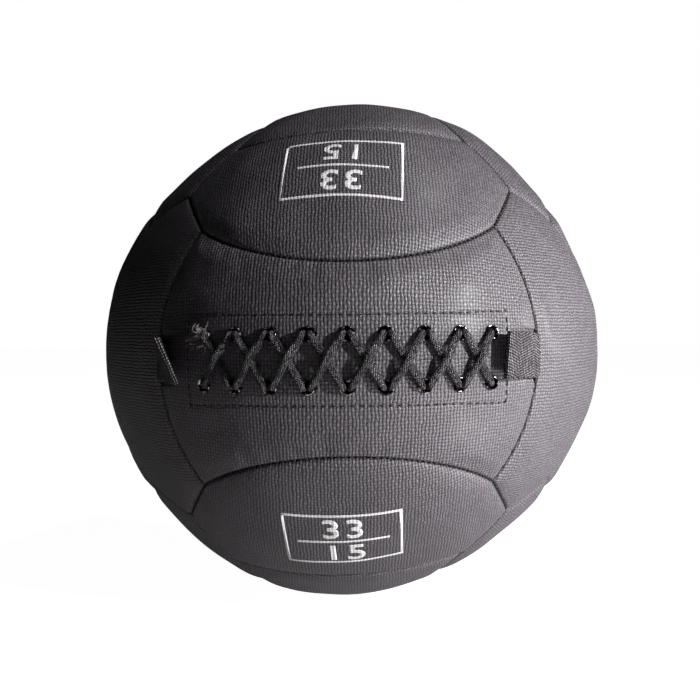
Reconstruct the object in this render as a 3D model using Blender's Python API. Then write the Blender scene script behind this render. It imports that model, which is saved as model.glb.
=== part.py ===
"""A wall ball: a soft stuffed ball with a sewn cover of eighteen panels, laced shut in front.

Metres, +Z up. The ball stands on the plane z = 0, and its lacing faces -Y.
A place on the ball is a direction from its centre and a depth below the cover's outer surface.
A place on the front is given by the arcs along (to +X) and up (to +Z) from the middle of the front.
"""

import math

import bmesh
import bpy
import numpy as np
from mathutils import Matrix, Vector

# Ball
BALL_RADIUS = 0.175
FACE_SWELL = 0.0080
LEAN = 0.0045
TWIST = 0.0068
FLOOR_FLAT_DEPTH = 0.0005

# Cover
COVER_THICKNESS = 0.0020
SEAM_GAP = 0.0003
SEAM_DIP = 0.0022
SEAM_SHOULDER = 0.012
CLEARANCE = 0.0003

# Panel pattern, as parts of the ball and as angles from the middle of a long panel
CORNER_ALONG_SHARE = 0.483
CORNER_ACROSS_SHARE = 0.425
END_ANGLE = math.radians(38.5)
SIDE_ANGLE = math.radians(17.1)
SIDE_STEPS = 10
END_STEPS = 4
SHORT_STEPS = 2
RING_DISTANCE_SHARES = (0.38, 1.0)
OUTER_FACET = 0.0420
INNER_FACET_SHARE = 1.4

# Lacing
EYELETS_IN_ROW = 9
EYELET_PITCH = 0.0200
EYELET_ROW_OFFSET = 0.0135
EYELET_BORE = 0.0068
EYELET_BARREL = 0.0076
EYELET_FLANGE = 0.0088
EYELET_FLANGE_THICKNESS = 0.0008
EYELET_SIDES = 10
EYELET_HOLE_SIDES = 8
LACE_DIAMETER = 0.0045
LACE_DIAMETER_IN_EYELET = 0.0026
LACE_GAP = 0.0005
LACE_TURN = 0.0035
LACE_SPREAD = 0.0080
LACE_LEAST_TURN = math.radians(24.0)
SLIT_WIDTH = 0.0016
SLIT_BEYOND_EYELETS = 0.0045

# Facing and tongue
FACING_THICKNESS = 0.0012
SHEET_FACET_ALLOWANCE = 0.0003
FACING_BEYOND_EYELETS = 0.0115
FACING_BEYOND_ROWS = 0.0095
FACING_STEPS_LONG = 16
FACING_STEPS_WIDE = 4
TONGUE_THICKNESS = 0.0010
TONGUE_BEYOND_FACING = 0.0020
RECESS_BEYOND_FACING = 0.0045

# Webbing tabs
TAB_WIDTH = 0.0250
TAB_LENGTH = 0.0330
TAB_WEBBING = 0.0014
TAB_LEG_GAP = 0.0006
LEFT_TAB_ANGLE = math.radians(30.0)
RIGHT_TAB_ANGLE = math.radians(10.0)
TAB_HINGE_DEPTH = 0.0009
TAB_TAIL = 0.0008
TAB_FOLD_STEPS = 6

# Inner layers
LAYER_FACET_ALLOWANCE = 0.0019
LAYER_CLEARANCE = 0.0005
PADDING_THICKNESS = 0.0120
LINING_THICKNESS = 0.0012
LINING_MOUTH_RADIUS = 0.0360
CORE_RADIUS = 0.0600
LAYER_SEGMENTS = 20
LAYER_RINGS = 5

# Knot
KNOT_DIAMETER = 0.0070
KNOT_WAIST = 0.0049
KNOT_LENGTH = 0.0110
KNOT_BEYOND_EYELET = 0.0062

FRONT = np.array((0.0, -1.0, 0.0))
BACK = -FRONT
RIGHT = np.array((1.0, 0.0, 0.0))
LEFT = -RIGHT
TOP = np.array((0.0, 0.0, 1.0))
BOTTOM = -TOP

# Each long panel: the way it faces, and the way it is long
LONG_PANELS = {
    "front": (FRONT, RIGHT),
    "back": (BACK, RIGHT),
    "top": (TOP, FRONT),
    "bottom": (BOTTOM, FRONT),
    "left": (LEFT, TOP),
    "right": (RIGHT, TOP),
}

# Each six-sided panel: the long panel whose side it meets, and the one whose end it meets
SIX_SIDED_PANELS = {
    "front_top": ("front", "top"),
    "front_bottom": ("front", "bottom"),
    "back_top": ("back", "top"),
    "back_bottom": ("back", "bottom"),
    "front_left": ("left", "front"),
    "front_right": ("right", "front"),
    "back_left": ("left", "back"),
    "back_right": ("right", "back"),
    "top_left": ("top", "left"),
    "top_right": ("top", "right"),
    "bottom_left": ("bottom", "left"),
    "bottom_right": ("bottom", "right"),
}


def unit(vector):
    """The direction of a vector, or of each row of an array."""
    vector = np.asarray(vector, float)
    return vector / np.linalg.norm(vector, axis=-1, keepdims=True)


def stuffed_radius(direction):
    """Radius of the cover's outer surface, a little out of round as the filling leaves it."""
    x, y, z = np.moveaxis(np.asarray(direction, float), -1, 0)
    swell = x**4 + y**4 + z**4 - 3 / 5
    twist = x * z * (z * z - x * x)
    return BALL_RADIUS + FACE_SWELL * swell + LEAN * x * z + TWIST * twist


CENTRE = np.array((0.0, 0.0, float(stuffed_radius(BOTTOM)) - FLOOR_FLAT_DEPTH))
FLOOR_FLAT_RADIUS = math.sqrt(2 * BALL_RADIUS * FLOOR_FLAT_DEPTH)


def place(direction, depth=0.0):
    """The point in a direction from the centre, at a depth below the cover's surface."""
    direction = unit(direction)
    radius = stuffed_radius(direction) - depth
    return CENTRE + direction * np.asarray(radius)[..., None]


def front_direction(along, up):
    """The direction to a place on the front, from its arcs along and up."""
    turn = along / BALL_RADIUS
    rise = up / BALL_RADIUS
    return np.array((math.sin(turn) * math.cos(rise), -math.cos(turn) * math.cos(rise), math.sin(rise)))


def front_place(along, up, depth):
    """The point at a place on the front, at a depth below the cover's surface."""
    return place(front_direction(along, up), depth)


def ease(share):
    """Rises smoothly from 0 to 1."""
    share = np.clip(share, 0.0, 1.0)
    return share * share * (3 - 2 * share)


def arc(start, middle, end, steps):
    """Directions along the circle through three directions, both ends included."""
    axis = unit(np.cross(middle - start, end - start))
    foot = axis * (axis @ start)
    radius = np.linalg.norm(start - foot)
    across = unit(start - foot)
    onward = np.cross(axis, across)
    sweep = math.atan2((end - foot) @ onward, (end - foot) @ across) % math.tau
    turns = np.linspace(0.0, sweep, steps + 1)[:, None]
    return foot + radius * (np.cos(turns) * across + np.sin(turns) * onward)


def straight(start, end, steps):
    """Directions along the great circle between two directions, both ends included."""
    return unit(start + (end - start) * np.linspace(0.0, 1.0, steps + 1)[:, None])


def panel_corner(facing, along, across):
    """A corner of a long panel, from the way it faces and the ways to the corner."""
    facing_share = math.sqrt(1 - CORNER_ALONG_SHARE**2 - CORNER_ACROSS_SHARE**2)
    return facing_share * facing + CORNER_ALONG_SHARE * along + CORNER_ACROSS_SHARE * across


def end_seam(facing, along, across, steps):
    """The rounded end of a long panel."""
    middle = math.cos(END_ANGLE) * facing + math.sin(END_ANGLE) * along
    return arc(panel_corner(facing, along, -across), middle, panel_corner(facing, along, across), steps)


def side_seam(facing, along, across, steps):
    """The hollow long side of a long panel."""
    middle = math.cos(SIDE_ANGLE) * facing + math.sin(SIDE_ANGLE) * across
    return arc(panel_corner(facing, along, across), middle, panel_corner(facing, -along, across), steps)


def finer(name):
    """The laced front panel has twice the steps on its seams."""
    return 2 if name == "front" else 1


def long_panel_sides(name):
    """The four seams of a long panel in order: end, side, end, side."""
    facing, along = LONG_PANELS[name]
    across = np.cross(facing, along)
    ends = END_STEPS * finer(name)
    sides = SIDE_STEPS * finer(name)
    return (
        end_seam(facing, along, across, ends),
        side_seam(facing, along, across, sides),
        end_seam(facing, -along, -across, ends),
        side_seam(facing, -along, -across, sides),
    )


def six_sided_panel_sides(name):
    """The six seams of a six-sided panel, in order round it."""
    side_of, end_of = SIX_SIDED_PANELS[name]
    side_facing, along = LONG_PANELS[side_of]
    end_facing = LONG_PANELS[end_of][0]
    side = side_seam(side_facing, along, end_facing, SIDE_STEPS * finer(side_of))
    end = end_seam(end_facing, side_facing, along, END_STEPS * finer(end_of))
    near = unit(side_facing + end_facing + along)
    far = unit(side_facing + end_facing - along)
    return (
        side,
        straight(side[-1], far, SHORT_STEPS),
        straight(far, end[0], SHORT_STEPS),
        end,
        straight(end[-1], near, SHORT_STEPS),
        straight(near, side[0], SHORT_STEPS),
    )


def drawn_in(loop):
    """The loop of directions moved inwards by half the gap between two panels."""
    before = np.roll(loop, 1, axis=0)
    after = np.roll(loop, -1, axis=0)
    inward_before = unit(np.cross(loop, loop - before))
    inward_after = unit(np.cross(loop, after - loop))
    spread = 1 + (inward_before * inward_after).sum(axis=1, keepdims=True)
    inset = SEAM_GAP / 2 / BALL_RADIUS
    return unit(loop + inset * (inward_before + inward_after) / spread)


def panel_loop(sides):
    """One closed loop of directions, anticlockwise seen from outside."""
    loop = np.concatenate([side[:-1] for side in sides])
    middle = unit(loop.sum(axis=0))
    turn = np.cross(loop, np.roll(loop, -1, axis=0)).sum(axis=0) @ middle
    return loop if turn > 0 else loop[::-1]


def distance_to_seam(directions, loop):
    """How far each direction lies from the loop, along the ball."""
    starts = loop
    runs = np.roll(loop, -1, axis=0) - loop
    reach = directions[:, None, :] - starts[None]
    shares = np.clip((reach * runs).sum(axis=2) / (runs * runs).sum(axis=1), 0.0, 1.0)
    nearest = reach - shares[..., None] * runs
    return BALL_RADIUS * np.linalg.norm(nearest, axis=2).min(axis=1)


def panel_points(directions, loop, depth):
    """Points of a panel's skin, drawn in towards its seams."""
    dip = SEAM_DIP * (1 - ease(distance_to_seam(directions, loop) / SEAM_SHOULDER))
    return place(directions, depth + dip)


def towards(loop, middle, distance):
    """The loop moved along the ball towards the panel's middle by a distance."""
    reach = np.linalg.norm(middle - loop, axis=1, keepdims=True)
    return unit(loop + (middle - loop) * distance / (reach * BALL_RADIUS))


def shrunk(loop, middle, share):
    """The loop drawn towards the panel's middle to a share of its size."""
    return unit(middle + (loop - middle) * share)


def rings_inside(edge, middle, facet):
    """Rings between a panel's edge and its middle, no further apart than a facet may be long."""
    reach = BALL_RADIUS * np.linalg.norm(edge - middle, axis=1).max()
    bands = math.ceil(reach / facet)
    return [shrunk(edge, middle, 1 - band / bands) for band in range(1, bands)]


def add_loft(mesh, rings, closed_ring=True):
    """Faces between rings of points that have the same count."""
    rows = [[mesh.verts.new(point) for point in ring] for ring in rings]
    for row, following in zip(rows, rows[1:]):
        count = len(row)
        for index in range(count if closed_ring else count - 1):
            after = (index + 1) % count
            mesh.faces.new((row[index], row[after], following[after], following[index]))
    return rows


def add_fan(mesh, ring, apex):
    """Triangles from a ring to one point."""
    tip = mesh.verts.new(apex)
    for index, vertex in enumerate(ring):
        mesh.faces.new((vertex, ring[(index + 1) % len(ring)], tip))


def make_material(name, colour, roughness, metallic=0.0):
    """A plain Principled material."""
    material = bpy.data.materials.new(name)
    material.use_nodes = True
    shader = material.node_tree.nodes["Principled BSDF"]
    shader.inputs["Base Color"].default_value = (*colour, 1.0)
    shader.inputs["Roughness"].default_value = roughness
    shader.inputs["Metallic"].default_value = metallic
    material.diffuse_color = (*colour, 1.0)
    return material


def make_object(name, mesh, material, origin=(0.0, 0.0, 0.0), parent=None):
    """One named object from a bmesh, with its origin at a point."""
    bmesh.ops.recalc_face_normals(mesh, faces=mesh.faces)
    bmesh.ops.translate(mesh, verts=mesh.verts, vec=-Vector(origin))
    data = bpy.data.meshes.new(name)
    mesh.to_mesh(data)
    mesh.free()
    data.shade_smooth()
    data.set_sharp_from_angle(angle=math.radians(35))
    made = bpy.data.objects.new(name, data)
    bpy.context.scene.collection.objects.link(made)
    data.materials.append(material)
    made.location = origin
    made.parent = parent
    return made


def cut(target, cutter):
    """Takes the cutter's shape out of the target."""
    cutter.hide_render = True
    cutter.display_type = "WIRE"
    boolean = target.modifiers.new(cutter.name, "BOOLEAN")
    boolean.operation = "DIFFERENCE"
    boolean.solver = "EXACT"
    boolean.object = cutter


def make_panel(name, sides, material):
    """A cover panel: a crowned outer skin, radial edges and an inner skin."""
    loop = panel_loop(sides)
    middle = unit(loop.sum(axis=0))
    edge = drawn_in(loop)
    outer = [edge]
    outer += [towards(edge, middle, share * SEAM_SHOULDER) for share in RING_DISTANCE_SHARES]
    outer += rings_inside(edge, middle, OUTER_FACET)
    inner = [edge] + rings_inside(edge, middle, INNER_FACET_SHARE * OUTER_FACET)
    outer_points = [panel_points(ring, loop, 0.0) for ring in outer]
    inner_points = [panel_points(ring, loop, COVER_THICKNESS) for ring in inner]
    outer_apex = place(middle)
    if name == "panel_bottom":
        flat = towards(np.repeat(middle[None], len(edge), axis=0), unit(edge), FLOOR_FLAT_RADIUS)
        flat_points = place(flat)
        flat_points[:, 2] = 0.0
        outer_points.append(flat_points)
        outer_apex[2] = 0.0
    mesh = bmesh.new()
    rows = add_loft(mesh, outer_points[::-1] + inner_points)
    add_fan(mesh, rows[0][::-1], outer_apex)
    add_fan(mesh, rows[-1], place(middle, COVER_THICKNESS))
    return make_object(name, mesh, material)


def make_laced_panel(material):
    """The front panel, a finer grid between its four seams, still without its slit and holes."""
    sides = long_panel_sides("front")
    loop = panel_loop(sides)
    edge = drawn_in(loop)
    first_end, first_side = len(sides[0]) - 1, len(sides[1]) - 1
    corners = np.cumsum((0, first_end, first_side, first_end))
    ring = np.concatenate((edge, edge[:1]))
    start_end = ring[corners[0] : corners[1] + 1]
    top_side = ring[corners[1] : corners[2] + 1]
    far_end = ring[corners[2] : corners[3] + 1][::-1]
    low_side = ring[corners[3] :][::-1]
    across = np.linspace(0.0, 1.0, first_end + 1)[None, :, None]
    along = np.linspace(0.0, 1.0, first_side + 1)[:, None, None]
    ruled_along = (1 - along) * start_end[None] + along * far_end[None]
    ruled_across = (1 - across) * low_side[:, None] + across * top_side[:, None]
    corner_sheet = (1 - along) * ((1 - across) * low_side[0] + across * top_side[0])
    corner_sheet = corner_sheet + along * ((1 - across) * low_side[-1] + across * top_side[-1])
    grid = unit(ruled_along + ruled_across - corner_sheet)
    flat = grid.reshape(-1, 3)
    outer = panel_points(flat, loop, 0.0).reshape(grid.shape)
    inner = panel_points(flat, loop, COVER_THICKNESS).reshape(grid.shape)
    mesh = bmesh.new()
    add_slab(mesh, outer, inner)
    return make_object("panel_front_laced", mesh, material)


def add_slab(mesh, outer, inner):
    """A closed slab between two grids of points."""
    skins = [add_loft(mesh, grid, closed_ring=False) for grid in (outer, inner)]
    rims = []
    for rows in skins:
        rim = list(rows[0])
        rim += [row[-1] for row in rows[1:]]
        rim += rows[-1][-2::-1]
        rim += [row[0] for row in rows[-2:0:-1]]
        rims.append(rim)
    count = len(rims[0])
    for index in range(count):
        after = (index + 1) % count
        mesh.faces.new((rims[0][index], rims[0][after], rims[1][after], rims[1][index]))


def curved_slab(half_length, half_width, depth, thickness, steps_long, steps_wide):
    """A sheet that follows the front of the ball."""
    alongs = np.linspace(-half_length, half_length, steps_long + 1)
    ups = np.linspace(-half_width, half_width, steps_wide + 1)
    skins = []
    for level in (depth, depth + thickness):
        skins.append(np.array([[front_place(along, up, level) for up in ups] for along in alongs]))
    mesh = bmesh.new()
    add_slab(mesh, *skins)
    return mesh


# Where the eyelets and the layers behind them lie
EYELET_ALONGS = [
    EYELET_PITCH * (index - (EYELETS_IN_ROW - 1) / 2) for index in range(EYELETS_IN_ROW)
]
LAST_EYELET = EYELET_ALONGS[-1]
FACING_DEPTH = COVER_THICKNESS + CLEARANCE
EYELET_INNER_DEPTH = FACING_DEPTH + FACING_THICKNESS + CLEARANCE + SHEET_FACET_ALLOWANCE
EYELET_END_DEPTH = EYELET_INNER_DEPTH + EYELET_FLANGE_THICKNESS
LACE_INNER_DEPTH = EYELET_END_DEPTH + CLEARANCE + LACE_DIAMETER_IN_EYELET / 2
LACE_DEEPER_DEPTH = LACE_INNER_DEPTH + LACE_DIAMETER_IN_EYELET + LACE_GAP
TONGUE_DEPTH = LACE_DEEPER_DEPTH + LACE_DIAMETER_IN_EYELET / 2 + LACE_GAP
FACING_HALF_LENGTH = LAST_EYELET + FACING_BEYOND_EYELETS
FACING_HALF_WIDTH = EYELET_ROW_OFFSET + FACING_BEYOND_ROWS
SLIT_HALF_LENGTH = LAST_EYELET + SLIT_BEYOND_EYELETS
LACE_OFFSET = LACE_DIAMETER_IN_EYELET / 2 + LACE_GAP
PADDING_DEPTH = SEAM_DIP + COVER_THICKNESS + CLEARANCE + LAYER_FACET_ALLOWANCE
LINING_DEPTH = PADDING_DEPTH + PADDING_THICKNESS + LAYER_CLEARANCE
FILLING_DEPTH = LINING_DEPTH + LINING_THICKNESS + LAYER_CLEARANCE
KNOT_DEPTH = (FACING_DEPTH + FACING_THICKNESS + TONGUE_DEPTH) / 2
RECESS_DEPTH = TONGUE_DEPTH + TONGUE_THICKNESS + CLEARANCE
CORE_DEPTH = BALL_RADIUS - CORE_RADIUS


def upright_at(along, up, depth):
    """A matrix whose Z points straight out of the ball at a place on the front."""
    direction = front_direction(along, up)
    turn = Vector(direction).to_track_quat("Z", "Y").to_matrix().to_4x4()
    return Matrix.Translation(front_place(along, up, depth)) @ turn


def eyelet_places():
    """Each eyelet's name and its arcs along and up."""
    for row, up in (("upper", EYELET_ROW_OFFSET), ("lower", -EYELET_ROW_OFFSET)):
        for index, along in enumerate(EYELET_ALONGS):
            yield f"eyelet_{row}_{index + 1}", along, up


def make_eyelet(name, along, up, material):
    """A metal eyelet: a barrel through both layers with a flange on each side."""
    top = CLEARANCE + EYELET_FLANGE_THICKNESS
    bore, barrel, rim = EYELET_BORE / 2, EYELET_BARREL / 2, EYELET_FLANGE / 2
    roll = EYELET_FLANGE_THICKNESS / 2
    profile = (
        (bore, -EYELET_END_DEPTH),
        (rim, -EYELET_END_DEPTH),
        (rim, -EYELET_INNER_DEPTH),
        (barrel, -EYELET_INNER_DEPTH),
        (barrel, CLEARANCE),
        (rim, CLEARANCE),
        (rim - roll, top),
        (bore, top),
    )
    mesh = bmesh.new()
    points = [mesh.verts.new((radius, 0.0, height)) for radius, height in profile]
    edges = [mesh.edges.new((points[i - 1], points[i])) for i in range(len(points))]
    bmesh.ops.spin(
        mesh,
        geom=points + edges,
        axis=(0.0, 0.0, 1.0),
        cent=(0.0, 0.0, 0.0),
        steps=EYELET_SIDES,
        angle=math.tau,
        use_merge=True,
    )
    bmesh.ops.transform(mesh, matrix=upright_at(along, up, 0.0), verts=mesh.verts)
    return make_object(name, mesh, material)


def make_opening_cutter():
    """The slit and the eyelet holes, as one cutter for the cover and the facing."""
    past = EYELET_END_DEPTH + CLEARANCE
    mesh = curved_slab(SLIT_HALF_LENGTH, SLIT_WIDTH / 2, -past, 2 * past, FACING_STEPS_LONG, 1)
    radius = EYELET_BARREL / 2 / math.cos(math.pi / EYELET_HOLE_SIDES) + CLEARANCE
    for _, along, up in eyelet_places():
        bmesh.ops.create_cone(
            mesh,
            cap_ends=True,
            segments=EYELET_HOLE_SIDES,
            radius1=radius,
            radius2=radius,
            depth=2 * past,
            matrix=upright_at(along, up, 0.0),
        )
    return make_object("slit_and_hole_cutter", mesh, bpy.data.materials["cutter"])


def lace_stations(along, up, side):
    """The lace just outside and just inside an eyelet, on one side of its bore."""
    outside = -(CLEARANCE + EYELET_FLANGE_THICKNESS + LACE_DIAMETER_IN_EYELET / 2)
    across = along + side * LACE_OFFSET
    thin = LACE_DIAMETER_IN_EYELET / 2
    return (across, up, outside, thin), (across, up, EYELET_END_DEPTH, thin)


def lace_outside(start, end, height):
    """The lace over the cover between two eyelets, highest or lowest where strands cross."""
    rest = CLEARANCE + EYELET_FLANGE_THICKNESS + LACE_GAP + LACE_DIAMETER / 2
    full = LACE_DIAMETER / 2
    points = []
    for share, level in ((0.2, rest), (0.5, height), (0.8, rest)):
        along = start[0] + share * (end[0] - start[0])
        up = start[1] + share * (end[1] - start[1])
        points.append((along, up, -level, full))
    return points


def lace_inside(start, end, depth):
    """The lace behind the facing, from an eyelet to the one above or below it."""
    way = math.copysign(1.0, end[1] - start[1])
    thin = LACE_DIAMETER_IN_EYELET / 2
    middle = ((start[0] + end[0]) / 2, 0.0, depth, thin)
    return [
        (start[0], start[1] + way * LACE_TURN, (depth + LACE_INNER_DEPTH) / 2, thin),
        (start[0], start[1] + way * LACE_SPREAD, depth, thin),
        middle,
        (end[0], end[1] - way * LACE_SPREAD, depth, thin),
        (end[0], end[1] - way * LACE_TURN, (depth + LACE_INNER_DEPTH) / 2, thin),
    ]


def lace_end(up):
    """The lace from its knot to just inside the first eyelet of a row."""
    way = math.copysign(1.0, up)
    thin = LACE_DIAMETER_IN_EYELET / 2
    along = EYELET_ALONGS[0] - KNOT_BEYOND_EYELET
    knot_end = KNOT_LENGTH / 2 + LACE_GAP
    return [
        (along, way * knot_end, KNOT_DEPTH, thin),
        (along, way * (knot_end + LACE_TURN), KNOT_DEPTH, thin),
        (EYELET_ALONGS[0] - LACE_OFFSET, up - way * LACE_TURN, (KNOT_DEPTH + LACE_INNER_DEPTH) / 2, thin),
    ]


def lace_route():
    """The whole lace from its knot through every eyelet and back, as places with a thickness."""
    upper, lower = EYELET_ROW_OFFSET, -EYELET_ROW_OFFSET
    under = CLEARANCE + LACE_DIAMETER / 2
    over = under + LACE_DIAMETER + LACE_GAP
    last = EYELETS_IN_ROW - 1
    route = lace_end(upper)
    for index in range(last):
        leaves = lace_stations(EYELET_ALONGS[index], upper, 1)
        enters = lace_stations(EYELET_ALONGS[index + 1], lower, -1)
        route += [leaves[1], leaves[0]]
        route += lace_outside(leaves[0], enters[0], under)
        route += [enters[0], enters[1]]
        if index + 1 < last:
            above = lace_stations(EYELET_ALONGS[index + 1], upper, 1)
            route += lace_inside(enters[1], above[1], LACE_INNER_DEPTH)
    turn_low = lace_stations(EYELET_ALONGS[last], lower, -1)
    turn_high = lace_stations(EYELET_ALONGS[last], upper, -1)
    route += lace_inside(turn_low[1], turn_high[1], LACE_INNER_DEPTH)
    for index in range(last, 0, -1):
        leaves = lace_stations(EYELET_ALONGS[index], upper, -1)
        enters = lace_stations(EYELET_ALONGS[index - 1], lower, 1)
        route += [leaves[1], leaves[0]]
        route += lace_outside(leaves[0], enters[0], over)
        route += [enters[0], enters[1]]
        if index > 1:
            above = lace_stations(EYELET_ALONGS[index - 1], upper, -1)
            route += lace_inside(enters[1], above[1], LACE_DEEPER_DEPTH)
    return route + lace_end(lower)[::-1]


def smooth_through(places):
    """Points on a smooth curve through the places, one more between each two."""
    points = np.array([(*front_place(*where[:3]), where[3]) for where in places])
    padded = np.vstack((2 * points[0] - points[1], points, 2 * points[-1] - points[-2]))
    half = (9 * (padded[1:-2] + padded[2:-1]) - padded[:-3] - padded[3:]) / 16
    out = np.empty((len(points) + len(half), 4))
    out[0::2] = points
    out[1::2] = half
    return without_straight_points(out)


def without_straight_points(points):
    """The points, less every second one where the lace hardly turns."""
    kept = [points[0]]
    for index in range(1, len(points) - 1):
        run_in = unit(points[index, :3] - kept[-1][:3])
        run_out = unit(points[index + 1, :3] - points[index, :3])
        if run_in @ run_out < math.cos(LACE_LEAST_TURN) or index % 2 == 0:
            kept.append(points[index])
    kept.append(points[-1])
    return np.array(kept)


def least_gap(points):
    """The least gap between stretches of the lace that don't follow one another."""
    centres = points[:, :3]
    runs = np.linalg.norm(np.diff(centres, axis=0), axis=1)
    lengths = np.concatenate(((0.0,), np.cumsum(runs)))
    apart = np.linalg.norm(centres[:, None] - centres[None], axis=2)
    gaps = apart - points[:, 3][:, None] - points[:, 3][None]
    following = np.abs(lengths[:, None] - lengths[None]) < 2 * LACE_DIAMETER
    return float(gaps[~following].min()), float(lengths[-1])


def make_lace(material):
    """The lace, one unbroken tube."""
    points = smooth_through(lace_route())
    gap, length = least_gap(points)
    print(f"lace: {length:.3f} m long, least gap to itself {gap * 1000:.2f} mm")
    data = bpy.data.curves.new("lace", "CURVE")
    data.dimensions = "3D"
    data.bevel_depth = LACE_DIAMETER / 2
    data.bevel_resolution = 1
    data.use_fill_caps = True
    spline = data.splines.new("POLY")
    spline.points.add(len(points) - 1)
    for target, (x, y, z, radius) in zip(spline.points, points):
        target.co = (x, y, z, 1.0)
        target.radius = radius / (LACE_DIAMETER / 2)
    data.materials.append(material)
    lace = bpy.data.objects.new("lace", data)
    bpy.context.scene.collection.objects.link(lace)
    return lace


def make_knot(material):
    """The knot that joins the two ends of the lace behind the facing."""
    waist, bulge, half = KNOT_WAIST / 2, KNOT_DIAMETER / 2, KNOT_LENGTH / 2
    profile = (
        (0.0, -half),
        (waist, -half),
        (bulge, -half / 2),
        (waist, 0.0),
        (bulge, half / 2),
        (waist, half),
        (0.0, half),
    )
    mesh = bmesh.new()
    points = [mesh.verts.new((radius, 0.0, height)) for radius, height in profile]
    edges = [mesh.edges.new(pair) for pair in zip(points, points[1:])]
    bmesh.ops.spin(
        mesh,
        geom=points + edges,
        axis=(0.0, 0.0, 1.0),
        cent=(0.0, 0.0, 0.0),
        steps=EYELET_SIDES,
        angle=math.tau,
        use_merge=True,
    )
    bmesh.ops.remove_doubles(mesh, verts=mesh.verts, dist=CLEARANCE / 10)
    middle = Matrix.Translation(front_place(EYELET_ALONGS[0] - KNOT_BEYOND_EYELET, 0.0, KNOT_DEPTH))
    bmesh.ops.transform(mesh, matrix=middle, verts=mesh.verts)
    return make_object("lace_knot", mesh, material)


def tab_outline(rest_angle):
    """The folded webbing seen from its edge: (inwards from the seam, out of the ball)."""
    half = TAB_WEBBING / 2
    spacing = TAB_WEBBING + TAB_LEG_GAP
    fold = spacing / 2
    straight_length = TAB_LENGTH - fold - half
    tail = Vector((0.0, -TAB_HINGE_DEPTH - TAB_TAIL))
    bend = Vector((0.0, -TAB_HINGE_DEPTH))
    reach = Vector((math.cos(rest_angle), math.sin(rest_angle)))
    rise = Vector((-reach.y, reach.x))
    root = bend + reach * spacing
    lower_end = root + reach * (straight_length - spacing)
    centre = lower_end + rise * fold
    line = [tail, bend, root, lower_end]
    for step in range(1, TAB_FOLD_STEPS):
        turn = math.pi * step / TAB_FOLD_STEPS
        line.append(centre + fold * (reach * math.sin(turn) - rise * math.cos(turn)))
    line.append(lower_end + rise * spacing)
    line.append(root + rise * spacing)
    sides = ([], [])
    for index, point in enumerate(line):
        before = line[max(index - 1, 0)]
        after = line[min(index + 1, len(line) - 1)]
        run_in = (point - before).normalized() if index else (after - point).normalized()
        run_out = (after - point).normalized() if index < len(line) - 1 else run_in
        normal_in = Vector((-run_in.y, run_in.x))
        normal_out = Vector((-run_out.y, run_out.x))
        mitre = (normal_in + normal_out) / (1 + normal_in.dot(normal_out))
        sides[0].append(point + mitre * half)
        sides[1].append(point - mitre * half)
    return sides[0] + sides[1][::-1]


def tab_hinge(way):
    """The point in the end seam about which a tab turns; way is 1 for the right and -1 for the left."""
    direction = np.array((way * math.sin(END_ANGLE), -math.cos(END_ANGLE), 0.0))
    return place(direction, TAB_HINGE_DEPTH), direction


def make_tab(name, way, rest_angle, material):
    """A tab of folded webbing, its tail in the end seam of the laced panel."""
    hinge, outward = tab_hinge(way)
    inward = np.array((-way * math.cos(END_ANGLE), -math.sin(END_ANGLE), 0.0))
    seat = hinge + outward * TAB_HINGE_DEPTH
    mesh = bmesh.new()
    corners = [
        mesh.verts.new(seat + inward * point.x + outward * point.y - TOP * TAB_WIDTH / 2)
        for point in tab_outline(rest_angle)
    ]
    side = mesh.faces.new(corners)
    grown = bmesh.ops.extrude_face_region(mesh, geom=[side])
    moved = [item for item in grown["geom"] if isinstance(item, bmesh.types.BMVert)]
    bmesh.ops.translate(mesh, verts=moved, vec=TOP * TAB_WIDTH)
    return make_object(name, mesh, material, origin=hinge)


def layer_ring(turn_from_front, depth):
    """A ring of points round the front-to-back axis, at an angle from the front."""
    points = []
    for index in range(LAYER_SEGMENTS):
        round_turn = math.tau * index / LAYER_SEGMENTS
        across = math.cos(round_turn) * RIGHT + math.sin(round_turn) * TOP
        direction = math.cos(turn_from_front) * FRONT + math.sin(turn_from_front) * across
        points.append(place(direction, depth))
    return points


def front_turns(end):
    """Angles of the rings of a front half, the first of them round the lining's mouth."""
    return np.linspace(LINING_MOUTH_RADIUS / BALL_RADIUS, end, LAYER_RINGS)


def back_turns(start):
    """Angles of the rings of a back half, without the point at the back."""
    return np.linspace(start, math.pi, LAYER_RINGS + 1)[:-1]


def make_shell(name, material, turns, pole, depth, inner_depth):
    """A shell between two depths over the rings of some angles, closed at one pole and open at the other."""
    mesh = bmesh.new()
    rows = add_loft(
        mesh,
        [layer_ring(turn, depth) for turn in turns]
        + [layer_ring(turn, inner_depth) for turn in turns[::-1]],
    )
    add_fan(mesh, rows[0], place(pole, depth))
    add_fan(mesh, rows[-1], place(pole, inner_depth))
    return make_object(name, mesh, material)


def make_halves(name, material, depth, inner_depth):
    """The front and back halves of a layer, open towards each other."""
    gap = LAYER_CLEARANCE / 2 / CORE_RADIUS
    front = front_turns(math.pi / 2 - gap)
    back = back_turns(math.pi / 2 + gap)[::-1]
    made = make_shell(f"{name}_front", material, front, FRONT, depth, inner_depth)
    make_shell(f"{name}_back", material, back, BACK, depth, inner_depth)
    return made


def whole_turns():
    """Angles of the rings of a layer that goes all the way round."""
    return np.concatenate((front_turns(math.pi / 2)[:-1], back_turns(math.pi / 2)))


def make_core(material):
    """The weighted bag in the middle."""
    mesh = bmesh.new()
    rows = add_loft(mesh, [layer_ring(turn, CORE_DEPTH) for turn in whole_turns()])
    add_fan(mesh, rows[0], place(FRONT, CORE_DEPTH))
    add_fan(mesh, rows[-1], place(BACK, CORE_DEPTH))
    return make_object("core_weight", mesh, material)


def clear_scene():
    """Removes every object."""
    for old in list(bpy.data.objects):
        bpy.data.objects.remove(old, do_unlink=True)


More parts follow.
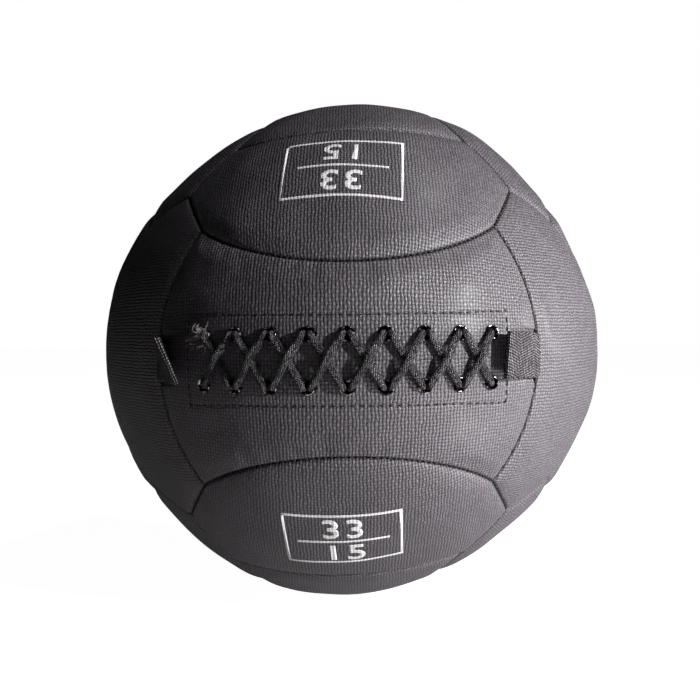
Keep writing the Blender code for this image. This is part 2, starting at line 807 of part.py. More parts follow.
def main():
    clear_scene()
    make_material("cutter", (0.8, 0.1, 0.1), 0.5)
    cloth = make_material("coated_cloth", (0.045, 0.042, 0.047), 0.55)
    metal = make_material("blackened_steel", (0.12, 0.12, 0.13), 0.35, metallic=1.0)
    cord = make_material("braided_cord", (0.02, 0.02, 0.022), 0.7)
    webbing = make_material("webbing", (0.03, 0.03, 0.033), 0.65)
    lining_cloth = make_material("lining_cloth", (0.25, 0.25, 0.25), 0.8)
    felt = make_material("felt_padding", (0.45, 0.44, 0.42), 0.95)
    fibre = make_material("fibre_filling", (0.6, 0.58, 0.55), 0.95)
    canvas = make_material("core_canvas", (0.3, 0.27, 0.22), 0.85)

    for name in LONG_PANELS:
        if name != "front":
            make_panel(f"panel_{name}", long_panel_sides(name), cloth)
    for name in SIX_SIDED_PANELS:
        make_panel(f"panel_{name}", six_sided_panel_sides(name), cloth)

    openings = make_opening_cutter()
    cut(make_laced_panel(cloth), openings)
    facing = curved_slab(
        FACING_HALF_LENGTH,
        FACING_HALF_WIDTH,
        FACING_DEPTH,
        FACING_THICKNESS,
        FACING_STEPS_LONG,
        FACING_STEPS_WIDE,
    )
    cut(make_object("lacing_facing", facing, cloth), openings)
    tongue = curved_slab(
        FACING_HALF_LENGTH + TONGUE_BEYOND_FACING,
        FACING_HALF_WIDTH + TONGUE_BEYOND_FACING,
        TONGUE_DEPTH,
        TONGUE_THICKNESS,
        FACING_STEPS_LONG,
        FACING_STEPS_WIDE,
    )
    make_object("tongue", tongue, cloth)

    for name, along, up in eyelet_places():
        make_eyelet(name, along, up, metal)
    make_lace(cord)
    make_knot(cord)
    make_tab("tab_left", -1, LEFT_TAB_ANGLE, webbing)
    make_tab("tab_right", 1, RIGHT_TAB_ANGLE, webbing)

    recess = curved_slab(
        FACING_HALF_LENGTH + RECESS_BEYOND_FACING,
        FACING_HALF_WIDTH + RECESS_BEYOND_FACING,
        FACING_DEPTH - COVER_THICKNESS,
        RECESS_DEPTH - CLEARANCE,
        FACING_STEPS_LONG,
        FACING_STEPS_WIDE,
    )
    recess_cutter = make_object("recess_cutter", recess, bpy.data.materials["cutter"])
    cut(make_halves("padding", felt, PADDING_DEPTH, PADDING_DEPTH + PADDING_THICKNESS), recess_cutter)
    lining_turns = whole_turns()[::-1]
    make_shell("lining_bag", lining_cloth, lining_turns, BACK, LINING_DEPTH, LINING_DEPTH + LINING_THICKNESS)
    make_halves("filling", fibre, FILLING_DEPTH, CORE_DEPTH - LAYER_CLEARANCE)
    make_core(canvas)


main()
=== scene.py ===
"""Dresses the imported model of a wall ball: sewn cover, lacing, tabs, print, inner layers, studio.

Metres, +Z up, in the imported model's frame. The ball stands on z = 0 and its lacing faces -Y.
A place on the ball is a direction from its centre and a depth below the cover's outer surface.
A place on the front is given by the arcs along (to +X) and up (to +Z) from the middle of the front.
"""

import logging
import math
from dataclasses import dataclass, field
from enum import Enum
from functools import partial
from typing import Any, Callable, Iterator, Sequence

import bmesh
import bpy
import numpy as np
from bpy.types import Material, Mesh, Node, NodeSocket, NodeTree, Object
from mathutils import Matrix, Vector
from mathutils.bvhtree import BVHTree


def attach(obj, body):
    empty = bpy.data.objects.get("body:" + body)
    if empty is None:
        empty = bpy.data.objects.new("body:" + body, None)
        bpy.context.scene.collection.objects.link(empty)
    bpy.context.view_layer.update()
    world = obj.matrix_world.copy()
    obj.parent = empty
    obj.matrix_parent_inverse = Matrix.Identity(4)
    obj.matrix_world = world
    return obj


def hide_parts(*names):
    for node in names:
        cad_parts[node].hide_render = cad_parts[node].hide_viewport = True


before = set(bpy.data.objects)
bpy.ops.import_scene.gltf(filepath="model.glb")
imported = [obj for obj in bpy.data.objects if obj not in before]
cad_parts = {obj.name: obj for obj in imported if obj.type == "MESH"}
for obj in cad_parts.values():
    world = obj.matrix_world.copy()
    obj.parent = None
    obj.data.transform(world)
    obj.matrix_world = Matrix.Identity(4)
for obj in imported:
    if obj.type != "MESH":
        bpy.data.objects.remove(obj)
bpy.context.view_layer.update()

LOG = logging.getLogger("wall_ball")
CLOTH_MAP = "cloth_mm"
SEAM_ATTRIBUTE = "from_seam"
MM_PER_M = 1000.0
Array = np.ndarray
# A place of the lace: along, up, depth and half its thickness
Station = tuple[float, ...]


class Way(Enum):
    """The six ways that a long panel can face."""

    FRONT = (0.0, -1.0, 0.0)
    BACK = (0.0, 1.0, 0.0)
    LEFT = (-1.0, 0.0, 0.0)
    RIGHT = (1.0, 0.0, 0.0)
    TOP = (0.0, 0.0, 1.0)
    BOTTOM = (0.0, 0.0, -1.0)

    @property
    def vector(self) -> Array:
        """The way as an array."""
        return np.array(self.value)


class Weave(Enum):
    """How the threads of a textile cross."""

    PLAIN = "plain"
    HERRINGBONE = "herringbone"


# Each long panel: the way it faces, and the way it is long
LONG_PANELS: dict[str, tuple[Way, Way]] = {
    "front": (Way.FRONT, Way.RIGHT),
    "back": (Way.BACK, Way.RIGHT),
    "top": (Way.TOP, Way.FRONT),
    "bottom": (Way.BOTTOM, Way.FRONT),
    "left": (Way.LEFT, Way.TOP),
    "right": (Way.RIGHT, Way.TOP),
}

# Each six-sided panel: the long panel whose side it meets, and the one whose end it meets
SIX_SIDED_PANELS: dict[str, tuple[str, str]] = {
    "front_top": ("front", "top"),
    "front_bottom": ("front", "bottom"),
    "back_top": ("back", "top"),
    "back_bottom": ("back", "bottom"),
    "front_left": ("left", "front"),
    "front_right": ("right", "front"),
    "back_left": ("left", "back"),
    "back_right": ("right", "back"),
    "top_left": ("top", "left"),
    "top_right": ("top", "right"),
    "bottom_left": ("bottom", "left"),
    "bottom_right": ("bottom", "right"),
}


def unit(vector: Array) -> Array:
    """The direction of a vector, or of each row of an array."""
    vector = np.asarray(vector, float)
    return vector / np.linalg.norm(vector, axis=-1, keepdims=True)


def ease(share: Array) -> Array:
    """Rises smoothly from 0 to 1."""
    share = np.clip(share, 0.0, 1.0)
    return share * share * (3 - 2 * share)


def linear(colour: str) -> tuple[float, float, float, float]:
    """Turns an sRGB colour, written #rrggbb, into the linear one that a shader takes."""
    parts = [int(colour[i : i + 2], 16) / 255 for i in (1, 3, 5)]
    red, green, blue = [p / 12.92 if p <= 0.04045 else ((p + 0.055) / 1.055) ** 2.4 for p in parts]
    return red, green, blue, 1.0


def feed(tree: NodeTree, node: Node, inputs: dict[Any, Any]) -> None:
    """Gives a node its input values and its links.

    Args:
        tree: The tree that the node is in.
        node: The node.
        inputs: Socket name or index to a value, a socket, or a node whose first output it takes.
    """
    for name, value in inputs.items():
        if isinstance(value, Node):
            value = value.outputs[0]
        if isinstance(value, NodeSocket):
            tree.links.new(value, node.inputs[name])
        else:
            node.inputs[name].default_value = value


def add_node(tree: NodeTree, kind: str, inputs: dict[Any, Any] | None = None, **settings: Any) -> Any:
    """Adds a node with its settings, its input values and its links.

    Args:
        tree: The node tree that it goes into.
        kind: The node's type name.
        inputs: What feed takes.
        **settings: The node's own properties.

    Returns:
        The node.
    """
    node = tree.nodes.new(kind)
    for name, value in settings.items():
        setattr(node, name, value)
    feed(tree, node, inputs or {})
    return node


def new_group(name: str, kind: str, inputs: dict[str, str], output: tuple[str, str]) -> tuple[NodeTree, Any]:
    """Makes a node group with named inputs and one output.

    Args:
        name: The group's name.
        kind: The tree's type name.
        inputs: Input name to kind of socket.
        output: The output's name and kind of socket.

    Returns:
        The group, and the sockets that its inputs come from.
    """
    tree = bpy.data.node_groups.new(name, kind)
    for label, socket in inputs.items():
        tree.interface.new_socket(label, in_out="INPUT", socket_type=f"NodeSocket{socket}")
    tree.interface.new_socket(output[0], in_out="OUTPUT", socket_type=f"NodeSocket{output[1]}")
    return tree, add_node(tree, "NodeGroupInput").outputs


def new_material(name: str) -> tuple[Material, NodeTree, Node]:
    """Makes a material and gives its node tree and its Principled shader too."""
    material = bpy.data.materials.new(name)
    material.use_nodes = True
    return material, material.node_tree, material.node_tree.nodes["Principled BSDF"]


def new_object(name: str, mesh: Mesh, material: Material | None = None) -> Object:
    """Makes an object at the origin that shows a mesh smooth.

    Args:
        name: The object's name.
        mesh: The mesh.
        material: The one material that the mesh gets, if any.

    Returns:
        The object.
    """
    made = bpy.data.objects.new(name, mesh)
    bpy.context.scene.collection.objects.link(made)
    if material is not None:
        mesh.materials.clear()
        mesh.materials.append(material)
    if len(mesh.polygons):
        mesh.shade_smooth()
    return made


def mesh_of(name: str, points: Array, faces: Sequence[Sequence[int]]) -> Mesh:
    """Makes a mesh from points and faces.

    Args:
        name: The mesh's name.
        points: Its points.
        faces: Point numbers of each face.

    Returns:
        The mesh.
    """
    mesh = bpy.data.meshes.new(name)
    mesh.from_pydata(np.asarray(points, float).tolist(), [], [list(face) for face in faces])
    mesh.update()
    return mesh


def mend(mesh: Mesh, merge: float | None = None, turn: bool = True) -> None:
    """Merges double points, deletes loose ones and turns the faces outwards.

    Args:
        mesh: A closed mesh.
        merge: The distance below which two points become one, or None to leave them.
        turn: Whether the faces still have to be turned.
    """
    made = bmesh.new()
    made.from_mesh(mesh)
    if merge is not None:
        bmesh.ops.remove_doubles(made, verts=made.verts, dist=merge)
    bmesh.ops.delete(made, geom=[v for v in made.verts if not v.link_faces], context="VERTS")
    if turn:
        bmesh.ops.recalc_face_normals(made, faces=made.faces)
    made.to_mesh(mesh)
    made.free()


def plain_mesh(piece: Object) -> Mesh:
    """Makes a plain mesh of what an object's modifiers show."""
    return bpy.data.meshes.new_from_object(piece.evaluated_get(bpy.context.evaluated_depsgraph_get()))


def set_map(mesh: Mesh, places: Array) -> None:
    """Gives a mesh its cloth map, in millimetres, from one place per vertex."""
    layer = mesh.uv_layers.new(name=CLOTH_MAP)
    corners = np.empty(len(mesh.loops), np.int32)
    mesh.loops.foreach_get("vertex_index", corners)
    layer.data.foreach_set("uv", np.asarray(places, np.float32)[corners].ravel())


def set_number(mesh: Mesh, name: str, values: Array) -> None:
    """Gives each vertex of a mesh one number."""
    layer = mesh.attributes.new(name, "FLOAT", "POINT")
    layer.data.foreach_set("value", np.asarray(values, np.float32).ravel())


def grid_faces(rows: int, columns: int, closed: bool = False) -> Array:
    """Quads between the points of a grid that is stored row after row.

    Args:
        rows: How many rows of points there are.
        columns: How many points a row has.
        closed: Whether the last column joins the first.

    Returns:
        One row of four point numbers for each quad.
    """
    i = np.arange(rows - 1)[:, None]
    j = np.arange(columns if closed else columns - 1)[None, :]
    after = (j + 1) % columns
    quads = (i * columns + j, (i + 1) * columns + j, (i + 1) * columns + after, i * columns + after)
    return np.stack([np.broadcast_to(q, (i.shape[0], j.shape[1])) for q in quads], axis=-1).reshape(-1, 4)


def slab(outer: Array, inner: Array, faces: Array) -> tuple[Array, Array]:
    """Closes two skins that share their faces into one body, through every hole in them.

    Args:
        outer: Points of the outer skin.
        inner: Points of the inner skin, one for each outer one.
        faces: The outer skin's quads, anticlockwise seen from outside.

    Returns:
        All points and all quads.
    """
    count = len(outer)
    starts = faces.reshape(-1)
    ends = np.roll(faces, -1, axis=1).reshape(-1)
    forward = starts.astype(np.int64) * count + ends
    rim = ~np.isin(forward, ends.astype(np.int64) * count + starts)
    start, end = starts[rim], ends[rim]
    walls = np.stack([end, start, start + count, end + count], axis=1)
    return np.vstack((outer, inner)), np.vstack((faces, faces[:, ::-1] + count, walls))


def cubic_weights(shares: Array, steps: int) -> Array:
    """Weights that read a row of evenly spaced values smoothly at other shares of its length.

    Args:
        shares: Where to read, from 0 to 1.
        steps: How many steps the row has.

    Returns:
        One row of weights for each share.
    """
    spot = np.clip(shares, 0, 1) * steps
    cell = np.minimum(spot.astype(int), steps - 1)
    t = spot - cell
    taps = (
        -0.5 * t + t**2 - 0.5 * t**3,
        1 - 2.5 * t**2 + 1.5 * t**3,
        0.5 * t + 2 * t**2 - 1.5 * t**3,
        -0.5 * t**2 + 0.5 * t**3,
    )
    weights = np.zeros((len(shares), steps + 1))
    for offset, tap in zip((-1, 0, 1, 2), taps):
        np.add.at(weights, (np.arange(len(shares)), np.clip(cell + offset, 0, steps)), tap)
    return weights


@dataclass(frozen=True)
class StuffedBall:
    """The stuffed form that every layer follows, a little out of round."""

    radius: float = 0.175
    face_swell: float = 0.0080
    lean: float = 0.0045
    twist: float = 0.0068
    floor_flat_depth: float = 0.0005
    lump_waves: tuple[tuple[float, float], ...] = ((0.120, 0.00075), (0.060, 0.00040), (0.030, 0.00016))
    lump_count: int = 7
    lump_seed: int = 5
    settled: tuple[tuple[tuple[float, float, float], float, float], ...] = (
        ((1.0, 0.0, -0.06), 0.0034, 0.052),
        ((0.87, 0.0, 0.49), -0.0019, 0.045),
        ((0.62, 0.0, 0.79), -0.0019, 0.055),
        ((-0.03, 0.0, 1.0), -0.0014, 0.050),
        ((-0.966, 0.0, 0.259), -0.0019, 0.045),
        ((-1.0, 0.0, -0.12), -0.0009, 0.045),
        ((0.675, 0.0, -0.737), -0.0008, 0.050),
    )

    def surface(self, directions: Array) -> Array:
        """Radius of the cover's outer surface in each direction.

        Args:
            directions: Directions from the ball's centre.

        Returns:
            One radius for each.
        """
        x, y, z = np.moveaxis(np.asarray(directions, float), -1, 0)
        swell = x**4 + y**4 + z**4 - 3 / 5
        swollen = self.radius + self.face_swell * swell + self.lean * x * z
        return swollen + self.twist * x * z * (z * z - x * x)

    @property
    def centre(self) -> Array:
        """The middle of the ball, which rests a little flattened on z = 0."""
        return np.array((0.0, 0.0, float(self.surface(Way.BOTTOM.vector)) - self.floor_flat_depth))

    def place(self, directions: Array, depth: float | Array = 0.0) -> Array:
        """Points in some directions, at a depth below the cover's surface."""
        directions = unit(directions)
        return self.centre + directions * np.asarray(self.surface(directions) - depth)[..., None]

    def front_direction(self, along: Array, up: Array) -> Array:
        """Directions to places on the front."""
        turn, rise = np.asarray(along) / self.radius, np.asarray(up) / self.radius
        level = np.cos(rise)
        return np.stack((np.sin(turn) * level, -np.cos(turn) * level, np.sin(rise) + 0 * turn), axis=-1)

    def front_arcs(self, directions: Array) -> tuple[Array, Array]:
        """The arcs along and up of directions on the front."""
        x, y, z = np.moveaxis(directions, -1, 0)
        return self.radius * np.arctan2(x, -y), self.radius * np.arcsin(np.clip(z, -1, 1))

    def front_place(self, along: Array, up: Array, depth: float | Array) -> Array:
        """Points at places on the front, at a depth below the cover's surface."""
        return self.place(self.front_direction(along, up), depth)

    def lumps(self, directions: Array) -> Array:
        """How far the packed fibre lifts the cloth in each direction.

        Args:
            directions: Directions from the ball's centre.

        Returns:
            One height for each.
        """
        random = np.random.default_rng(self.lump_seed)
        total = np.zeros(directions.shape[:-1])
        for wavelength, height in self.lump_waves:
            for _ in range(self.lump_count):
                way, phase = unit(random.normal(size=3)), random.uniform(0, math.tau)
                total += height * np.cos(math.tau * self.radius / wavelength * (directions @ way) + phase)
        total = total / math.sqrt(self.lump_count)
        for way, height, reach in self.settled:
            apart = self.radius * np.arccos(np.clip(directions @ unit(np.array(way)), -1, 1))
            total += height * np.exp(-((apart / reach) ** 2))
        return total


@dataclass(frozen=True)
class Seam:
    """A seam as directions from the ball's centre: an arc through three, or two straight legs."""

    start: Array
    middle: Array
    end: Array
    bent: bool = False

    def at(self, shares: Array) -> Array:
        """Directions at shares of the seam's length.

        Args:
            shares: Shares from 0 to 1.

        Returns:
            One direction for each.
        """
        shares = np.asarray(shares, float)[:, None]
        if self.bent:
            first = self.start + (self.middle - self.start) * np.clip(2 * shares, 0, 1)
            second = (self.end - self.middle) * np.clip(2 * shares - 1, 0, 1)
            return unit(first + second)
        axis = unit(np.cross(self.middle - self.start, self.end - self.start))
        foot = axis * (axis @ self.start)
        reach = float(np.linalg.norm(self.start - foot))
        across = unit(self.start - foot)
        onward = np.cross(axis, across)
        sweep = math.atan2((self.end - foot) @ onward, (self.end - foot) @ across) % math.tau
        return foot + reach * (np.cos(sweep * shares) * across + np.sin(sweep * shares) * onward)

    def length(self, radius: float) -> float:
        """The seam's length on a ball of some radius."""
        steps = self.at(np.linspace(0, 1, 40))
        return radius * float(np.linalg.norm(np.diff(steps, axis=0), axis=1).sum())


@dataclass(frozen=True)
class SeamPattern:
    """Where the seams run: six long panels and twelve six-sided ones."""

    corner_along_share: float = 0.483
    corner_across_share: float = 0.425
    end_angle: float = math.radians(38.5)
    side_angle: float = math.radians(17.1)

    def corner(self, facing: Array, along: Array, across: Array) -> Array:
        """A corner of a long panel."""
        facing_share = math.sqrt(1 - self.corner_along_share**2 - self.corner_across_share**2)
        return facing_share * facing + self.corner_along_share * along + self.corner_across_share * across

    def end(self, facing: Array, along: Array, across: Array) -> Seam:
        """The rounded end of a long panel."""
        middle = math.cos(self.end_angle) * facing + math.sin(self.end_angle) * along
        return Seam(self.corner(facing, along, -across), middle, self.corner(facing, along, across))

    def side(self, facing: Array, along: Array, across: Array) -> Seam:
        """The hollow long side of a long panel, from its near end (-along) to its far one."""
        middle = math.cos(self.side_angle) * facing + math.sin(self.side_angle) * across
        return Seam(self.corner(facing, -along, across), middle, self.corner(facing, along, across))

    def long_panel(self, name: str) -> tuple[Seam, Seam, Seam, Seam]:
        """The low side, the high side, the near end and the far end of a long panel.

        Args:
            name: The panel's name.

        Returns:
            Its four edges.
        """
        facing, along = (way.vector for way in LONG_PANELS[name])
        across = np.cross(facing, along)
        return (
            self.side(facing, along, -across),
            self.side(facing, along, across),
            self.end(facing, -along, across),
            self.end(facing, along, across),
        )

    def six_sided_panel(self, name: str) -> tuple[Seam, Seam, Seam, Seam]:
        """The low, high, near and far edges of a six-sided panel; near and far are two seams each.

        Args:
            name: The panel's name.

        Returns:
            Its four edges.
        """
        side_of, end_of = SIX_SIDED_PANELS[name]
        facing, along = (way.vector for way in LONG_PANELS[side_of])
        end_facing = LONG_PANELS[end_of][0].vector
        if along @ np.cross(end_facing, facing) < 0:
            along = -along
        low = self.side(facing, along, end_facing)
        high = self.end(end_facing, facing, along)
        near = Seam(low.start, unit(facing + end_facing - along), high.start, bent=True)
        far = Seam(low.end, unit(facing + end_facing + along), high.end, bent=True)
        return low, high, near, far

    def all_seams(self) -> Iterator[Seam]:
        """Each seam of the ball once; the short seams come as legs from the six-sided panels."""
        for name in LONG_PANELS:
            yield from self.long_panel(name)
        for name in SIX_SIDED_PANELS:
            for bent in self.six_sided_panel(name)[2:]:
                yield Seam(bent.start, unit(bent.start + bent.middle), bent.middle, bent=True)


@dataclass(frozen=True)
class Lacing:
    """Where the lace, its eyelets, the slit and the layers behind it lie on the front."""

    eyelets_in_row: int = 9
    pitch: float = 0.0200
    row_offset: float = 0.0135
    flange_thickness: float = 0.0008
    clearance: float = 0.0003
    cover_thickness: float = 0.0020
    facing_thickness: float = 0.0012
    facet_allowance: float = 0.0003
    tongue_thickness: float = 0.0010
    diameter: float = 0.0045
    diameter_in_eyelet: float = 0.0026
    squeezed: float = 0.0031
    gap: float = 0.0005
    turn: float = 0.0035
    spread: float = 0.0080
    slit_beyond_eyelets: float = 0.0045
    facing_beyond_eyelets: float = 0.0115
    facing_beyond_rows: float = 0.0095
    tongue_beyond_facing: float = 0.0020
    knot_beyond_eyelet: float = 0.0062
    knot_length: float = 0.0110
    knot_diameter: float = 0.0070

    @property
    def alongs(self) -> list[float]:
        """The arcs along of a row's eyelets."""
        return [self.pitch * (index - (self.eyelets_in_row - 1) / 2) for index in range(self.eyelets_in_row)]

    @property
    def places(self) -> list[tuple[float, float]]:
        """The arcs along and up of all eyelets."""
        return [(along, up) for up in (self.row_offset, -self.row_offset) for along in self.alongs]

    @property
    def facing_depth(self) -> float:
        """Depth of the facing's outer surface."""
        return self.cover_thickness + self.clearance

    @property
    def eyelet_inner_depth(self) -> float:
        """Depth at which an eyelet's inner flange starts."""
        return self.facing_depth + self.facing_thickness + self.clearance + self.facet_allowance

    @property
    def eyelet_end_depth(self) -> float:
        """Depth at which an eyelet ends."""
        return self.eyelet_inner_depth + self.flange_thickness

    @property
    def inner_depth(self) -> float:
        """Depth of the lace's middle behind the eyelets."""
        return self.eyelet_end_depth + self.clearance + self.diameter_in_eyelet / 2

    @property
    def deeper_depth(self) -> float:
        """Depth of the lace's middle where it passes behind itself."""
        return self.inner_depth + self.diameter_in_eyelet + self.gap

    @property
    def tongue_depth(self) -> float:
        """Depth of the tongue's outer surface."""
        return self.deeper_depth + self.diameter_in_eyelet / 2 + self.gap

    @property
    def knot_depth(self) -> float:
        """Depth of the knot's middle, between the facing and the tongue."""
        return (self.facing_depth + self.facing_thickness + self.tongue_depth) / 2

    @property
    def half_length(self) -> float:
        """Half the facing's length."""
        return self.alongs[-1] + self.facing_beyond_eyelets

    @property
    def half_width(self) -> float:
        """Half the facing's width."""
        return self.row_offset + self.facing_beyond_rows

    def stations(self, along: float, up: float, side: int) -> tuple[Station, Station]:
        """The lace just outside and just inside an eyelet: along, up, depth and half thickness.

        Args:
            along: The eyelet's arc along.
            up: Its arc up.
            side: 1 if the lace passes right of its middle, -1 if left.

        Returns:
            The two places.
        """
        thin = self.diameter_in_eyelet / 2
        outside = -(self.clearance + self.flange_thickness + thin)
        across = along + side * (thin + self.gap)
        return (across, up, outside, self.squeezed / 2), (across, up, self.eyelet_end_depth, thin)

    def outside(self, start: Station, end: Station, height: float) -> list[Station]:
        """The lace over the cover between two eyelets, at a height where strands cross.

        Args:
            start: Where it leaves an eyelet.
            end: Where it enters the next.
            height: Its height at the crossing.

        Returns:
            The places between.
        """
        full = self.diameter / 2
        rest = self.clearance + self.gap + self.squeezed / 2
        points = []
        for share, level in ((0.2, rest), (0.5, height), (0.8, rest)):
            along, up = (start[i] + share * (end[i] - start[i]) for i in (0, 1))
            points.append((along, up, -level, full))
        return points

    def inside(self, start: Station, end: Station, depth: float) -> list[Station]:
        """The lace behind the facing, from an eyelet to the one above or below it.

        Args:
            start: Where it comes in.
            end: Where it goes out again.
            depth: Its depth between them.

        Returns:
            The places between.
        """
        way = math.copysign(1.0, end[1] - start[1])
        thin, eased = self.diameter_in_eyelet / 2, (depth + self.inner_depth) / 2
        return [
            (start[0], start[1] + way * self.turn, eased, thin),
            (start[0], start[1] + way * self.spread, depth, thin),
            ((start[0] + end[0]) / 2, 0.0, depth, thin),
            (end[0], end[1] - way * self.spread, depth, thin),
            (end[0], end[1] - way * self.turn, eased, thin),
        ]

    def tail(self, up: float) -> list[Station]:
        """The lace from its knot to just inside the first eyelet of a row.

        Args:
            up: The row's arc up.

        Returns:
            The places from the knot on.
        """
        way, thin = math.copysign(1.0, up), self.diameter_in_eyelet / 2
        first = self.alongs[0]
        knot_end = self.knot_length / 2 + self.gap
        beside = first - self.knot_beyond_eyelet
        return [
            (beside, way * knot_end, self.knot_depth, thin),
            (beside, way * (knot_end + self.turn), self.knot_depth, thin),
            (first - thin - self.gap, up - way * self.turn, (self.knot_depth + self.inner_depth) / 2, thin),
        ]

    def route(self) -> list[Station]:
        """The whole lace from its knot through every eyelet and back to it.

        Returns:
            Every place from knot to knot.
        """
        upper, lower = self.row_offset, -self.row_offset
        under = self.clearance + self.squeezed / 2
        over = under + self.squeezed + self.gap / 2
        alongs, last = self.alongs, self.eyelets_in_row - 1
        route = self.tail(upper)
        for index in range(last):
            leaves = self.stations(alongs[index], upper, 1)
            enters = self.stations(alongs[index + 1], lower, -1)
            route += [leaves[1], leaves[0], *self.outside(leaves[0], enters[0], under), *enters]
            if index + 1 < last:
                above = self.stations(alongs[index + 1], upper, 1)
                route += self.inside(enters[1], above[1], self.inner_depth)
        low, high = self.stations(alongs[last], lower, -1), self.stations(alongs[last], upper, -1)
        route += self.inside(low[1], high[1], self.inner_depth)
        for index in range(last, 0, -1):
            leaves = self.stations(alongs[index], upper, -1)
            enters = self.stations(alongs[index - 1], lower, 1)
            route += [leaves[1], leaves[0], *self.outside(leaves[0], enters[0], over), *enters]
            if index > 1:
                above = self.stations(alongs[index - 1], upper, -1)
                route += self.inside(enters[1], above[1], self.deeper_depth)
        return route + self.tail(lower)[::-1]


class Textures:
    """Node groups that several textiles share."""

    @staticmethod
    def weave(kind: Weave) -> NodeTree:
        """The height of threads that cross, from counts of threads across and along.

        Args:
            kind: How the threads cross.

        Returns:
            A shader group with the inputs Across, Along, Crimp and Rib and the output Height.
        """
        floats = dict.fromkeys(("Across", "Along", "Crimp", "Rib"), "Float")
        tree, given = new_group(f"{kind.value}_weave", "ShaderNodeTree", floats, ("Height", "Float"))
        add = partial(add_node, tree)
        across = given["Across"]
        if kind is Weave.HERRINGBONE:
            row = add("ShaderNodeMath", {0: given["Along"]}, operation="ROUND")
            zigzag = add("ShaderNodeMath", {0: row, 1: 10.0}, operation="PINGPONG")
            shifted = {0: zigzag, 1: 1 / 3, 2: across}
            across = add("ShaderNodeMath", shifted, operation="MULTIPLY_ADD")
        waves, sizes, signs = [], [], []
        for count in (across, given["Along"]):
            angle = add("ShaderNodeMath", {0: count, 1: math.pi}, operation="MULTIPLY")
            wave = add("ShaderNodeMath", {0: angle}, operation="SINE")
            waves.append(wave)
            sizes.append(add("ShaderNodeMath", {0: wave}, operation="ABSOLUTE"))
            signs.append(add("ShaderNodeMath", {0: wave}, operation="SIGN"))
        threads = []
        for this, other, way in ((0, 1, 1.0), (1, 0, -1.0)):
            bend = add("ShaderNodeMath", {0: waves[other], 1: signs[this]}, operation="MULTIPLY")
            crimp = add("ShaderNodeMath", {0: given["Crimp"], 1: way}, operation="MULTIPLY")
            lifted = {0: bend, 1: crimp, 2: sizes[this]}
            threads.append(add("ShaderNodeMath", lifted, operation="MULTIPLY_ADD"))
        low = add("ShaderNodeMath", {0: threads[1], 1: given["Rib"]}, operation="SUBTRACT")
        top = add("ShaderNodeMath", {0: threads[0], 1: low}, operation="MAXIMUM")
        if kind is Weave.HERRINGBONE:
            top = add("ShaderNodeMath", {0: sizes[0], 1: sizes[1]}, operation="MULTIPLY")
        whole = add("ShaderNodeMath", {0: given["Crimp"], 1: 1.0}, operation="ADD")
        height = add("ShaderNodeMath", {0: top, 1: whole}, operation="DIVIDE")
        add("NodeGroupOutput", {"Height": height})
        return tree


